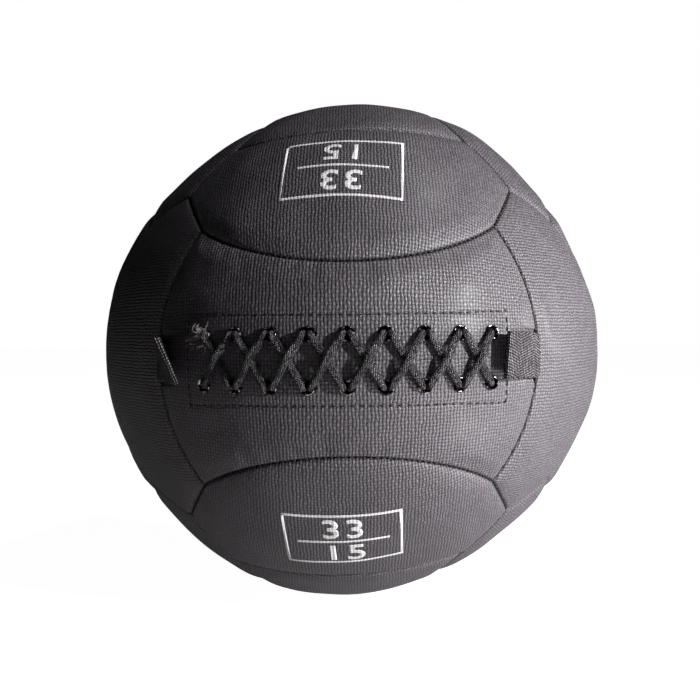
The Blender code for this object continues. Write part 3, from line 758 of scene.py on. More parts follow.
@dataclass(frozen=True)
class WovenFinish:
    """A woven textile in the cloth map: threads, painted shade in the gaps between them, and how they shine.

    Args:
        name: The material's name.
        thread: Colour of the threads' tops.
        between: Colour between the threads: painted shade in the gaps.
        pitch_mm: Distance from thread to thread.
        relief_mm: How far the threads stand above the gaps.
        rough_top: Roughness of the threads' tops.
        rough_gap: Roughness between the threads.
        wander: How far a thread strays, in threads.
        mottle: How far the colour varies from place to place.
        turned: Whether the threads run at 45 degrees, as in a braid.
        crimp: How far each thread dives under the next.
        rib: How far the threads along stand over the ones across.
        worn: Colour that the edges wear to, or None; it also brings painted shade into the seam grooves.
        coat: Weight of a clear coat.
        specular: Specular level.
        kind: How the threads cross.
    """

    name: str
    thread: str
    between: str
    pitch_mm: tuple[float, float]
    relief_mm: float
    rough_top: float
    rough_gap: float
    wander: float = 0.3
    mottle: float = 0.14
    turned: bool = False
    crimp: float = 0.5
    rib: float = 0.0
    worn: str | None = None
    coat: float = 0.0
    specular: float = 0.5
    kind: Weave = Weave.PLAIN

    def material(self, weaves: dict[Weave, NodeTree]) -> Material:
        """The finish as a material.

        Args:
            weaves: The weave groups.

        Returns:
            The material.
        """
        material, tree, shader = new_material(self.name)
        add = partial(add_node, tree)
        place = add("ShaderNodeUVMap", uv_map=CLOTH_MAP)
        stray = add("ShaderNodeTexNoise", {"Vector": place, "Scale": 0.16, "Detail": 3.0})
        stray = add("ShaderNodeVectorMath", {0: stray.outputs["Color"], 1: (0.5,) * 3}, operation="SUBTRACT")
        stray = add("ShaderNodeVectorMath", {0: stray, "Scale": self.wander * 4}, operation="SCALE")
        scale = (1 / self.pitch_mm[0], 1 / self.pitch_mm[1], 1.0)
        count = add("ShaderNodeVectorMath", {0: place, 1: scale, 2: stray}, operation="MULTIPLY_ADD")
        across, along = add("ShaderNodeSeparateXYZ", {0: count}).outputs[:2]
        if self.turned:
            both = {0: across, 1: along}
            across, along = (add("ShaderNodeMath", both, operation=way) for way in ("ADD", "SUBTRACT"))
        counts = {"Across": across, "Along": along, "Crimp": self.crimp, "Rib": self.rib}
        weave = add("ShaderNodeGroup", counts, node_tree=weaves[self.kind])
        cell = add("ShaderNodeCombineXYZ", {0: across, 1: along})
        cell = add("ShaderNodeVectorMath", {0: cell}, operation="FLOOR")
        lot = add("ShaderNodeTexWhiteNoise", {"Vector": cell}, noise_dimensions="2D")
        patch = add("ShaderNodeTexNoise", {"Vector": place, "Scale": 0.045, "Detail": 4.0})

        # Painted shade between the threads: the colour runs from the between colour in the gaps to the thread
        # colour on the tops.
        rise = add("ShaderNodeMapRange", {0: weave, 1: 0.35, 2: 0.95}, interpolation_type="SMOOTHSTEP")
        layers = [("MIX", rise, linear(self.thread))]
        for spot in (patch, lot):
            share = {0: spot, 1: 0.2, 2: 0.8, 3: 1 - self.mottle, 4: 1 + self.mottle}
            layers.append(("MULTIPLY", 1.0, add("ShaderNodeMapRange", share)))
        if self.worn is not None:
            seam = add("ShaderNodeAttribute", attribute_name=SEAM_ATTRIBUTE).outputs["Fac"]
            near = add("ShaderNodeMapRange", {0: seam, 1: 0.0014, 2: 0.0048, 3: 1.0, 4: 0.0})
            rubbed = add("ShaderNodeMapRange", {0: patch, 1: 0.35, 2: 0.7, 3: 0.1, 4: 0.5})
            for share in (near, rise):
                rubbed = add("ShaderNodeMath", {0: rubbed, 1: share}, operation="MULTIPLY")
            # Painted shade in the seam grooves and along the stitched box line: the colour darkens towards
            # the seam.
            painted_groove_shade = add("ShaderNodeMapRange", {0: seam, 1: 0.0, 2: 0.0018, 3: 0.04, 4: 1.0})
            layers += [("MIX", rubbed, linear(self.worn)), ("MULTIPLY", 1.0, painted_groove_shade)]
        tone = linear(self.between)
        for blend, factor, colour in layers:
            mixed = {0: factor, 6: tone, 7: colour}
            tone = add("ShaderNodeMix", mixed, data_type="RGBA", blend_type=blend).outputs[2]

        rough = add("ShaderNodeMapRange", {0: rise, 3: self.rough_gap, 4: self.rough_top})
        uneven = add("ShaderNodeMapRange", {0: lot, 3: -0.07, 4: 0.07})
        rough = add("ShaderNodeMath", {0: rough, 1: uneven}, operation="ADD", use_clamp=True)
        height = {"Height": weave, "Strength": 1.0, "Distance": self.relief_mm / MM_PER_M}
        looks = {"Base Color": tone, "Roughness": rough, "Normal": add("ShaderNodeBump", height)}
        shine = {"Coat Weight": self.coat, "Coat Roughness": 0.32, "Specular IOR Level": self.specular}
        feed(tree, shader, looks | shine)
        return material


@dataclass(frozen=True)
class FibreFinish:
    """A textile without a weave that shows, such as needle felt, loose packed fibre or sewing thread."""

    name: str
    light: str
    dark: str
    grain_mm: float
    relief_mm: float
    detail: float = 6.0
    breakup: float = 0.7
    rough: float = 0.95
    sheen: float = 0.3

    def material(self) -> Material:
        """Makes the material, in object coordinates.

        Returns:
            The material.
        """
        material, tree, shader = new_material(self.name)
        add = partial(add_node, tree)
        place = add("ShaderNodeTexCoord").outputs["Object"]
        size = {"Scale": MM_PER_M / self.grain_mm, "Detail": self.detail, "Roughness": self.breakup}
        grain = add("ShaderNodeTexNoise", {"Vector": place} | size)
        colours = {0: grain, 6: linear(self.dark), 7: linear(self.light)}
        tone = add("ShaderNodeMix", colours, data_type="RGBA").outputs[2]
        relief = add("ShaderNodeBump", {"Height": grain, "Distance": self.relief_mm / MM_PER_M})
        looks = {"Base Color": tone, "Normal": relief, "Roughness": self.rough, "Sheen Weight": self.sheen}
        feed(tree, shader, looks)
        return material


@dataclass(frozen=True)
class BlackenedSteel:
    """Steel eyelets, blackened, with the coating chipped off the rolled rims."""

    name: str = "blackened_steel"
    black: str = "#0d0d0f"
    bare: str = "#c9c4bb"
    chip_mm: float = 2.0

    def material(self) -> Material:
        """Makes the material; the chips are bright because bare steel shows.

        Returns:
            The material.
        """
        material, tree, shader = new_material(self.name)
        add = partial(add_node, tree)
        place = add("ShaderNodeTexCoord").outputs["Object"]
        chips = add("ShaderNodeTexNoise", {"Vector": place, "Scale": MM_PER_M / self.chip_mm, "Detail": 3.0})
        bare = add("ShaderNodeMapRange", {0: chips, 1: 0.52, 2: 0.58}, interpolation_type="SMOOTHSTEP")
        colours = {0: bare, 6: linear(self.black), 7: linear(self.bare)}
        tone = add("ShaderNodeMix", colours, data_type="RGBA").outputs[2]
        rough = add("ShaderNodeMapRange", {0: bare, 3: 0.42, 4: 0.24})
        relief = add("ShaderNodeBump", {"Height": chips, "Distance": 0.1 / MM_PER_M, "Strength": 0.4})
        feed(tree, shader, {"Base Color": tone, "Roughness": rough, "Normal": relief, "Metallic": 1.0})
        return material


@dataclass(frozen=True)
class Finishes:
    """Every material of the ball."""

    cover: Material
    backing: Material
    cord: Material
    webbing: Material
    ink: Material
    lining: Material
    canvas: Material
    felt: Material
    fibre: Material
    frayed: Material
    steel: Material
    thread: Material

    @classmethod
    def mix(cls) -> "Finishes":
        """Makes every material.

        Returns:
            The finishes.
        """
        # PVC-coated polyester: charcoal with painted shade in the gaps, and each flattened thread carries its
        # own soft highlight.
        cover = WovenFinish(
            "pvc_coated_polyester", "#5e575e", "#302d32", (1.95, 2.0), 0.50, 0.50, 0.65,
            worn="#7d777e", coat=0.08, crimp=0.42, rib=0.20, specular=0.65,
        )
        # The same cloth from its bare side: duller, without the coat.
        backing = WovenFinish("polyester_backing", "#3b383c", "#0e0d0f", (1.95, 2.0), 0.4, 0.75, 0.85)
        # Braided nylon cord: black yarns that glint where they turn over each other, with painted shade
        # between them.
        cord = WovenFinish(
            "braided_nylon_cord", "#4a464c", "#020202", (1.414, 2.0), 1.0, 0.34, 0.6,
            wander=0.05, mottle=0.9, turned=True,
        )
        # Nylon webbing: a herringbone of pale floats with painted shade between them, and no coat.
        webbing = WovenFinish(
            "nylon_webbing", "#b4acb4", "#020202", (1.5, 1.6), 1.2, 0.5, 0.9,
            wander=0.06, mottle=0.35, kind=Weave.HERRINGBONE, crimp=0.18, specular=0.35,
        )
        # Screen-printed ink: white on the threads' tops, thinner between them, where painted shade darkens it
        # too.
        ink = WovenFinish("screen_ink", "#f1eff0", "#d5d2d4", (1.95, 2.0), 0.3, 0.5, 0.7, mottle=0.04)
        # Plain polyester: a thin smooth cloth, so its threads hardly show.
        lining = WovenFinish(
            "polyester_lining", "#8b8a8c", "#55545a", (0.8, 0.8), 0.10, 0.7, 0.85, wander=0.1
        )
        # Cotton canvas: matt and unbleached, with threads that stray.
        canvas = WovenFinish("cotton_canvas", "#8f8467", "#4f4836", (1.2, 1.2), 0.25, 0.8, 0.9)
        weaves = {kind: Textures.weave(kind) for kind in Weave}
        textiles = (cover, backing, cord, webbing, ink, lining, canvas)
        return cls(
            *(textile.material(weaves) for textile in textiles),
            # Needle felt and loose fibre: matt and soft, with no thread that can be followed.
            felt=FibreFinish("needle_felt", "#a9a69f", "#77746e", 1.2, 0.4).material(),
            fibre=FibreFinish("packed_textile_fibre", "#b9b2a6", "#7f796f", 3.0, 1.2).material(),
            # Broken nylon yarn: paler than the cord, because its ends scatter the light.
            frayed=FibreFinish("frayed_nylon", "#d6d1cd", "#8b8683", 0.8, 0.05).material(),
            steel=BlackenedSteel().material(),
            # Bonded polyester thread: dark, with a faint shine along each stitch.
            thread=FibreFinish(
                "bonded_polyester_thread", "#1d1b1e", "#070607", 0.7, 0.15,
                detail=2.0, breakup=0.5, rough=0.5, sheen=0.0,
            ).material(),
        )


@dataclass(frozen=True)
class CoverPanel:
    """One panel of the cover, as a grid between its four edges."""

    name: str
    edges: tuple[Seam, Seam, Seam, Seam]
    middle: Array
    warp: Array

    def directions(self, us: Array, vs: Array) -> Array:
        """Directions of the grid at shares along and across the panel.

        Args:
            us: Shares along the panel.
            vs: Shares across it.

        Returns:
            A grid of directions.
        """
        low, high, near, far = (
            edge.at(shares)[:, None] if index < 2 else edge.at(shares)[None]
            for index, (edge, shares) in enumerate(zip(self.edges, (us, us, vs, vs)))
        )
        u, v = us[:, None, None], vs[None, :, None]
        sheet = (1 - v) * low + v * high + (1 - u) * near + u * far
        start, finish = ((1 - v) * edge[:, :1] + v * edge[:, -1:] for edge in (near, far))
        return unit(sheet - ((1 - u) * start + u * finish))

    def outline(self, radius: float, step: float = 0.003) -> Array:
        """The panel's edge as one loop of directions.

        Args:
            radius: The ball's radius.
            step: The distance between two directions.

        Returns:
            The loop.
        """
        counts = (math.ceil(edge.length(radius) / step / 2) * 2 + 1 for edge in self.edges)
        low, high, near, far = (edge.at(np.linspace(0, 1, count)) for edge, count in zip(self.edges, counts))
        return np.concatenate((low[:-1], far[:-1], high[::-1][:-1], near[::-1][:-1]))

    def cloth_places(self, directions: Array, radius: float) -> Array:
        """Where each direction lies on the flat cloth, in millimetres from the panel's middle.

        Args:
            directions: Directions from the ball's centre.
            radius: The ball's radius.

        Returns:
            Places along the warp and across it.
        """
        turn = np.arccos(np.clip(directions @ self.middle, -1, 1))[..., None]
        flat = directions - (directions @ self.middle)[..., None] * self.middle
        flat = flat / np.maximum(np.linalg.norm(flat, axis=-1, keepdims=True), 1e-9)
        weft = np.cross(self.middle, self.warp)
        return MM_PER_M * radius * turn[..., 0:1] * np.stack((flat @ self.warp, flat @ weft), axis=-1)


@dataclass
class StuffedCover:
    """The eighteen sewn panels, blown out between their seams by the filling."""

    ball: StuffedBall
    pattern: SeamPattern
    lacing: Lacing
    finishes: Finishes
    thickness: float = 0.0020
    seam_gap: float = 0.0003
    seam_dip: float = 0.0035
    rolled_edge: float = 0.0026
    shoulder: float = 0.012
    pucker_pitch: float = 0.0078
    pucker_height: float = 0.00012
    pucker_reach: float = 0.007
    pucker_start: float = 0.0012
    pucker_drifts: tuple[float, float] = (0.031, 0.047)
    laced_step: float = 0.00095
    panel_step: float = 0.0014
    edge_lines: tuple[float, ...] = (0.00025, 0.0006, 0.0010, 0.0015, 0.0022)
    rest_step: float = 0.0055
    pressure: float = 4.0
    frames: int = 20
    slack: float = 0.006
    most_rise: float = 0.0016
    rise_kept: float = 0.5
    slit_half_gap: float = 0.00004
    hole_radius: float = 0.00370
    stitch_box: tuple[float, float] = (0.0915, 0.0231)
    stitch_bow: float = 0.0022
    trough: tuple[float, float] = (0.0005, 0.0009)
    slit_draw: tuple[float, float] = (0.00012, 0.0016)
    seat_draw: float = 0.0018
    seat_reach: float = 0.025
    seat_half_width: float = 0.0125
    seat_ramp: float = 0.004
    box_shade_and_wear_least: float = 0.0006
    calm: tuple[float, float, float] = (0.122, 0.026, 0.014)
    panels: list[CoverPanel] = field(default_factory=list)
    skins: dict[str, BVHTree] = field(default_factory=dict)

    def cut_out(self) -> None:
        """Lists the panels from the seam pattern."""
        for name, (facing, along) in LONG_PANELS.items():
            edges = self.pattern.long_panel(name)
            label = "front_laced" if name == "front" else name
            self.panels.append(CoverPanel(label, edges, facing.vector, along.vector))
        for name, (side_of, end_of) in SIX_SIDED_PANELS.items():
            facing, along = LONG_PANELS[side_of]
            middle = unit(facing.vector + LONG_PANELS[end_of][0].vector)
            self.panels.append(CoverPanel(name, self.pattern.six_sided_panel(name), middle, along.vector))

    def shares(self, length: float, step: float) -> Array:
        """Shares of a panel's length for its grid lines, closer together at both edges."""
        close = np.array((0.0, *self.edge_lines)) / length
        between = np.linspace(close[-1], 1 - close[-1], math.ceil(length * (1 - 2 * close[-1]) / step) + 1)
        return np.concatenate((close[:-1], between, 1 - close[:-1][::-1]))

    def pressed_out(self) -> dict[str, tuple[Array, int, int]]:
        """Blows the panels out between their seams as cloth under the filling's pressure.

        Returns:
            For each panel, a coarse grid of how far it rises, and its steps along and across.
        """
        points, faces, pinned, spans = [], [], [], []
        for panel in self.panels:
            low, _, near, _ = (edge.length(self.ball.radius) for edge in panel.edges)
            steps = math.ceil(low / self.rest_step), math.ceil(near / self.rest_step)
            ways = panel.directions(np.linspace(0, 1, steps[0] + 1), np.linspace(0, 1, steps[1] + 1))
            start = sum(len(p) for p in points)
            faces.append(grid_faces(steps[0] + 1, steps[1] + 1) + start)
            rim = np.ones(ways.shape[:2], bool)
            rim[1:-1, 1:-1] = False
            points.append(self.ball.place(ways).reshape(-1, 3))
            pinned.append(rim.ravel())
            spans.append((panel.name, start, steps, ways))
        mesh = mesh_of("pressed_cloth", np.vstack(points), np.vstack(faces))
        cloth = new_object("pressed_cloth", mesh)
        group = cloth.vertex_groups.new(name="seams")
        group.add(np.flatnonzero(np.concatenate(pinned)).tolist(), 1.0, "REPLACE")
        settings = cloth.modifiers.new("filling_pressure", "CLOTH").settings
        settings.quality = 6
        settings.mass = 0.25
        settings.tension_stiffness = settings.compression_stiffness = 18.0
        settings.shear_stiffness = 6.0
        settings.bending_stiffness = 0.6
        settings.vertex_group_mass = group.name
        settings.use_pressure = True
        settings.uniform_pressure_force = self.pressure
        settings.shrink_min = -self.slack
        settings.effector_weights.gravity = 0.0
        scene = bpy.context.scene
        scene.frame_start, scene.frame_end = 1, self.frames
        for number in range(1, self.frames + 1):
            scene.frame_set(number)
        shown = cloth.evaluated_get(bpy.context.evaluated_depsgraph_get()).data
        after = np.empty(len(mesh.vertices) * 3, np.float32)
        shown.vertices.foreach_get("co", after)
        after = after.reshape(-1, 3)
        before = np.vstack(points)
        rises = {}
        for name, start, steps, ways in spans:
            count = ways.shape[0] * ways.shape[1]
            moved = (after - before)[start : start + count].reshape(ways.shape)
            rises[name] = (np.clip((moved * ways).sum(axis=-1), -self.most_rise / 2, self.most_rise), *steps)
        scene.frame_set(1)
        bpy.data.objects.remove(cloth, do_unlink=True)
        for name, (rise, *_) in rises.items():
            LOG.info("%s rises %.2f mm, at most %.2f mm", name, MM_PER_M * rise.mean(), MM_PER_M * rise.max())
        return rises

    def from_seam(self, directions: Array, loop: Array) -> Array:
        """How far each direction lies from the panel's edge, along the ball.

        Args:
            directions: Directions from the ball's centre.
            loop: The panel's edge.

        Returns:
            One distance for each.
        """
        flat = directions.reshape(-1, 3)
        runs = np.roll(loop, -1, axis=0) - loop
        squares = (runs * runs).sum(axis=1)
        least = np.empty(len(flat))
        for start in range(0, len(flat), 4000):
            reach = flat[start : start + 4000, None] - loop[None]
            shares = np.clip((reach * runs).sum(axis=2) / squares, 0, 1)
            least[start : start + 4000] = np.linalg.norm(reach - shares[..., None] * runs, axis=2).min(axis=1)
        return self.ball.radius * least.reshape(directions.shape[:-1])

    def calmness(self, directions: Array) -> Array:
        """0 where the lacing, the tabs or the floor hold the cloth down, rising to 1 away from them.

        Args:
            directions: Directions from the ball's centre.

        Returns:
            One share for each.
        """
        along, up = self.ball.front_arcs(directions)
        half_length, half_width, ramp = self.calm
        outside = np.maximum(np.abs(along) - half_length, np.abs(up) - half_width)
        outside = np.where(directions[..., 1] > 0, ramp, outside)
        floor = self.ball.radius * np.arccos(np.clip(-directions[..., 2], -1, 1)) - 2 * ramp
        return ease(outside / ramp) * ease(floor / (2 * ramp))

    def puckers(self, panel: CoverPanel, us: Array, vs: Array, from_seam: Array) -> Array:
        """Small gathers along the seams, where the thread draws the cloth in.

        Args:
            panel: The panel.
            us: Its shares along.
            vs: Its shares across.
            from_seam: Distances from its edge.

        Returns:
            A height for each grid point.
        """
        lengths = [edge.length(self.ball.radius) for edge in panel.edges]
        along = (us * lengths[0])[:, None] + 0 * vs[None]
        across = (vs * lengths[2])[None] + 0 * us[:, None]
        near_side = np.minimum(vs, 1 - vs)[None] * lengths[2] < np.minimum(us, 1 - us)[:, None] * lengths[0]
        run = np.where(near_side, along, across)
        short, long = (math.tau * run / wave for wave in self.pucker_drifts)
        beat = np.cos(math.tau * run / self.pucker_pitch + 1.9 * np.sin(short))
        swell = 0.6 + 0.4 * np.sin(long + panel.middle.sum())
        fade = np.exp(-from_seam / self.pucker_reach) * ease(from_seam / self.pucker_start)
        return self.pucker_height * beat * swell * fade

    def stitched_in(self, directions: Array, from_seam: Array) -> Array:
        """How deep the stitched box, the closed slit and the tabs' seats draw the laced panel in.

        Args:
            directions: Directions from the ball's centre.
            from_seam: Distances from the seam.

        Returns:
            One depth for each.
        """
        up = self.ball.front_arcs(directions)[1]
        from_box = self.from_box(directions)
        trough = self.trough[0] * np.exp(-((from_box / self.trough[1]) ** 2))
        slit = self.slit_draw[0] * np.exp(-((up / self.slit_draw[1]) ** 2)) * (from_box < 0)
        beside = 1 - ease((np.abs(up) - self.seat_half_width) / self.seat_ramp)
        return trough + slit + self.seat_draw * (1 - ease(from_seam / self.seat_reach)) * beside

    def from_box(self, directions: Array) -> Array:
        """How far each direction lies outside the stitched box; below 0 inside it.

        Args:
            directions: Directions from the ball's centre.

        Returns:
            One distance for each.
        """
        along, up = self.ball.front_arcs(directions)
        half_length, half_width = self.stitch_box
        bowed = half_width + self.stitch_bow * (along / half_length) ** 2
        return np.maximum(np.abs(along) - half_length, np.abs(up) - bowed)

    @property
    def slit_half_length(self) -> float:
        """Half the slit's length."""
        return self.lacing.alongs[-1] + self.lacing.slit_beyond_eyelets

    def dips(self, from_seam: Array) -> Array:
        """How deep the cloth lies near a seam: a wide shoulder and a rolled edge."""
        roll = self.rolled_edge
        inside = np.clip(1 - from_seam / roll, 0, 1)
        edge = roll * (1 - np.sqrt(1 - inside**2))
        return (self.seam_dip - roll) * (1 - ease(from_seam / self.shoulder)) + edge

    def with_holes(self, directions: Array, quads: Array) -> tuple[Array, Array]:
        """Draws the laced panel's grid back to the rims of its eyelet holes and opens them and the slit.

        Args:
            directions: Directions from the ball's centre.
            quads: The grid's quads.

        Returns:
            The moved directions and the quads that are left.
        """
        along, up = self.ball.front_arcs(directions)
        inside = np.zeros(along.shape, bool)
        for centre, row in self.lacing.places:
            reach = np.hypot(along - centre, up - row)
            near = np.abs(reach - self.hole_radius) < 0.55 * self.laced_step
            pull = np.where(near, self.hole_radius / np.maximum(reach, 1e-6), 1.0)
            along, up = centre + (along - centre) * pull, row + (up - row) * pull
            inside |= (reach < self.hole_radius) & ~near
        flat_inside = inside.ravel()
        keep = ~flat_inside[quads].any(axis=1)
        middle_along, middle_up = (value.ravel()[quads].mean(axis=1) for value in (along, up))
        slit = (np.abs(middle_up) < self.slit_half_gap) & (np.abs(middle_along) < self.slit_half_length)
        return self.ball.front_direction(along, up), quads[keep & ~slit]

    def sew(self, panel: CoverPanel, rises: dict[str, tuple[Array, int, int]]) -> Object:
        """Builds one panel as a closed body.

        Args:
            panel: The panel.
            rises: How far each panel is blown out.

        Returns:
            The panel's object.
        """
        radius = self.ball.radius
        laced = panel.name == "front_laced"
        step = self.laced_step if laced else self.panel_step
        lengths = [edge.length(radius) for edge in panel.edges]
        us, vs = self.shares(lengths[0], step), self.shares(lengths[2], step)
        if laced:
            beside = np.array((-8.0, -1.0, 1.0, 8.0)) * self.slit_half_gap / lengths[2]
            vs = np.sort(np.concatenate((vs[np.abs(vs - 0.5) > 1.5 * beside[-1]], 0.5 + beside)))
        ways = panel.directions(us, vs)
        loop = panel.outline(radius)
        quads = grid_faces(len(us), len(vs))
        if laced:
            ways, quads = self.with_holes(ways, quads)
        from_seam = self.from_seam(ways, loop)
        inset = self.seam_gap / 2 / radius
        edge = np.ones(ways.shape[:2], bool)
        edge[1:-1, 1:-1] = False
        ways = np.where(edge[..., None], unit(ways + inset * unit(panel.middle - ways)), ways)
        if panel.name in rises:
            coarse, steps_u, steps_v = rises[panel.name]
            rise = self.rise_kept * (cubic_weights(us, steps_u) @ coarse @ cubic_weights(vs, steps_v).T)
        else:
            rise = self.rise_kept * self.most_rise / 2 * ease(from_seam / (3 * self.shoulder))
        lift = (rise + self.ball.lumps(ways) * ease(from_seam / self.shoulder)) * self.calmness(ways)
        lift = lift + self.puckers(panel, us, vs, from_seam) - self.dips(from_seam)
        if laced:
            lift = lift - self.stitched_in(ways, from_seam)
        outer = self.ball.place(ways, -lift).reshape(-1, 3)
        inner = self.ball.place(ways, -lift + self.thickness).reshape(-1, 3)
        outer[:, 2] = np.maximum(outer[:, 2], 0.0)
        points, faces = slab(outer, inner, quads)
        mesh = mesh_of(f"cover_{panel.name}", points, faces)
        cloth = panel.cloth_places(ways, radius).reshape(-1, 2)
        set_map(mesh, np.vstack((cloth, cloth)))
        # Near the stitched box the seam distance shrinks, so the cover gets painted shade and a worn fringe
        # along the box stitches.
        if laced:
            from_seam = np.minimum(from_seam, self.box_shade_and_wear_least + 2 * np.abs(self.from_box(ways)))
        set_number(mesh, SEAM_ATTRIBUTE, np.tile(from_seam.ravel(), 2))
        mend(mesh, turn=False)
        self.skins[panel.name] = BVHTree.FromPolygons(outer.tolist(), quads.tolist())
        piece = new_object(f"cover_{panel.name}", mesh, self.finishes.cover)
        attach(piece, "ball")
        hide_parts(f"panel_{panel.name}")
        return piece

    def on_skin(self, name: str, directions: Array, lift: float) -> Array:
        """Points on a panel's outer skin in some directions, lifted off it.

        Args:
            name: The panel.
            directions: Directions from the ball's centre.
            lift: How far above the skin the points lie.

        Returns:
            One point for each direction.
        """
        centre = Vector(self.ball.centre)
        points = []
        for way in directions:
            outward = Vector(way)
            hit = self.skins[name].ray_cast(centre + outward * 2 * self.ball.radius, -outward)[0]
            if hit is None:
                hit = Vector(self.ball.place(np.array(way)))
            points.append(hit + outward * lift)
        return np.array(points)

    def build(self) -> list[Object]:
        """Cuts, blows out and sews all panels.

        Returns:
            The panels.
        """
        self.cut_out()
        rises = self.pressed_out()
        return [self.sew(panel, rises) for panel in self.panels]


@dataclass
class Stitching:
    """Rows of stitches that Geometry Nodes set along a path."""

    cover: StuffedCover
    finishes: Finishes
    seam_pitch: float = 0.0034
    seam_stitch: float = 0.0023
    seam_thread: float = 0.0009
    seam_depth: float = 0.0020
    box_pitch: float = 0.0050
    box_stitch: float = 0.0033
    box_thread: float = 0.0009
    box_sink: float = 0.00012
    path_step: float = 0.002
    tab_room: float = 0.0150
    beside_tab: float = 0.0015
    tab_lift: float = 0.0008
    seed: int = 11

    def tree(self) -> NodeTree:
        """Makes the node tree: a thread bead along the path at every pitch, turned out of the ball.

        Returns:
            The tree.
        """
        inputs = {"Path": "Geometry", "Pitch": "Float", "Stitch Length": "Float", "Thread": "Float"}
        inputs |= {"Ball Centre": "Vector", "Seed": "Int", "Material": "Material"}
        output = ("Stitches", "Geometry")
        tree, given = new_group("stitches_along_a_path", "GeometryNodeTree", inputs, output)
        add = partial(add_node, tree)
        curve = add("GeometryNodeMeshToCurve", {0: given["Path"]})
        points = add("GeometryNodeCurveToPoints", {"Curve": curve, "Length": given["Pitch"]}, mode="LENGTH")
        here = add("GeometryNodeInputPosition")
        outward = add("ShaderNodeVectorMath", {0: here, 1: given["Ball Centre"]}, operation="SUBTRACT")
        onward = {"Vector": points.outputs["Tangent"]}
        turned = add("FunctionNodeAlignRotationToVector", onward, axis="X", pivot_axis="AUTO")
        upright = {"Rotation": turned, "Vector": outward}
        turned = add("FunctionNodeAlignRotationToVector", upright, axis="Z", pivot_axis="X")
        uneven = add("FunctionNodeRandomValue", {2: 0.82, 3: 1.1, "Seed": given["Seed"]}, data_type="FLOAT")
        length = {0: given["Stitch Length"], 1: uneven.outputs[1]}
        length = add("ShaderNodeMath", length, operation="MULTIPLY")
        size = add("ShaderNodeCombineXYZ", {0: length, 1: given["Thread"], 2: given["Thread"]})
        bead = add("GeometryNodeMeshUVSphere", {"Segments": 8, "Rings": 5, "Radius": 0.5})
        beads = {"Points": points, "Instance": bead, "Rotation": turned, "Scale": size}
        real = add("GeometryNodeRealizeInstances", {0: add("GeometryNodeInstanceOnPoints", beads)})
        dressed = add("GeometryNodeSetMaterial", {"Geometry": real, "Material": given["Material"]})
        add("NodeGroupOutput", {0: dressed})
        return tree

    def box_path(self) -> Array:
        """The stitched box round the lacing, as arcs along and up.

        Returns:
            One closed loop of places.
        """
        half_length, half_width = self.cover.stitch_box
        along = np.linspace(-half_length, half_length, 120)
        bow = half_width + self.cover.stitch_bow * (along / half_length) ** 2
        up = np.linspace(-bow[-1], bow[-1], 30)[1:-1]
        sides = (
            np.stack((along, -bow), axis=1),
            np.stack((np.full(len(up), half_length), up), axis=1),
            np.stack((along[::-1], bow), axis=1),
            np.stack((np.full(len(up), -half_length), up[::-1]), axis=1),
        )
        return np.concatenate(sides)

    def build(self) -> list[Object]:
        """Sets the stitches in the seams and round the lacing.

        Returns:
            The stitches of the seams and those round the lacing.
        """
        ball = self.cover.ball
        tree = self.tree()
        end = self.cover.pattern.end_angle
        seats = ball.place(np.array([(way * math.sin(end), -math.cos(end), 0.0) for way in (1, -1)]))
        away = np.array(((math.cos(end), 0.0, 0.0), (0.0, math.sin(end), 0.0)))
        points: list[Array] = []
        edges: list[tuple[int, int]] = []
        for seam in self.cover.pattern.all_seams():
            count = math.ceil(seam.length(ball.radius) / self.path_step) + 1
            start = sum(len(p) for p in points)
            ways = seam.at(np.linspace(0.01, 0.99, count))
            apart = np.linalg.norm(ball.place(ways)[:, None] - seats[None], axis=2).min(axis=1)
            beside = 1 - ease(apart[:, None] / self.tab_room * 6 - 5)
            aside = np.sign(ways[:, :1]) * away[0] + away[1]
            ways = unit(ways + beside * self.beside_tab / ball.radius * aside)
            points.append(ball.place(ways, self.seam_depth - self.tab_lift * beside[:, 0]))
            edges += [(start + i, start + i + 1) for i in range(count - 1)]
        mesh = bpy.data.meshes.new("seam_stitches")
        mesh.from_pydata(np.vstack(points).tolist(), edges, [])
        sizes = {"Pitch": self.seam_pitch, "Stitch Length": self.seam_stitch, "Thread": self.seam_thread}
        in_seams = self.set_along(mesh, tree, sizes)

        path = self.box_path()
        ways = ball.front_direction(path[:, 0], path[:, 1])
        ring = self.cover.on_skin("front_laced", ways, self.box_thread / 2 - self.box_sink)
        mesh = bpy.data.meshes.new("lacing_box_stitches")
        mesh.from_pydata(ring.tolist(), [(i, (i + 1) % len(ring)) for i in range(len(ring))], [])
        sizes = {"Pitch": self.box_pitch, "Stitch Length": self.box_stitch, "Thread": self.box_thread}
        return [in_seams, self.set_along(mesh, tree, sizes)]

    def set_along(self, mesh: Mesh, tree: NodeTree, sizes: dict[str, float]) -> Object:
        """Sets one object's stitches along the path in its mesh and lets them ride on the ball.

        Args:
            mesh: The path.
            tree: The node tree.
            sizes: Input name to size.

        Returns:
            The piece.
        """
        values = {
            **sizes,
            "Ball Centre": tuple(self.cover.ball.centre),
            "Seed": self.seed,
            "Material": self.finishes.thread,
        }
        piece = grown(mesh.name, mesh, tree, values)
        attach(piece, "ball")
        return piece


def grown(name: str, mesh: Mesh, tree: NodeTree, values: dict[str, Any]) -> Object:
    """Grows a piece from a mesh with Geometry Nodes and keeps only the plain result.

    Args:
        name: The piece's name.
        mesh: What the tree starts from.
        tree: The node tree.
        values: Input name to value.

    Returns:
        The piece, with no modifier left.
    """
    made = new_object(name, mesh)
    modifier = made.modifiers.new(tree.name, "NODES")
    modifier.node_group = tree
    for item in tree.interface.items_tree:
        if item.item_type == "SOCKET" and item.in_out == "INPUT" and item.name in values:
            modifier[item.identifier] = values[item.name]
    plain = plain_mesh(made)
    made.modifiers.clear()
    made.data = plain
    plain.name = name
    plain.shade_smooth()
    return made


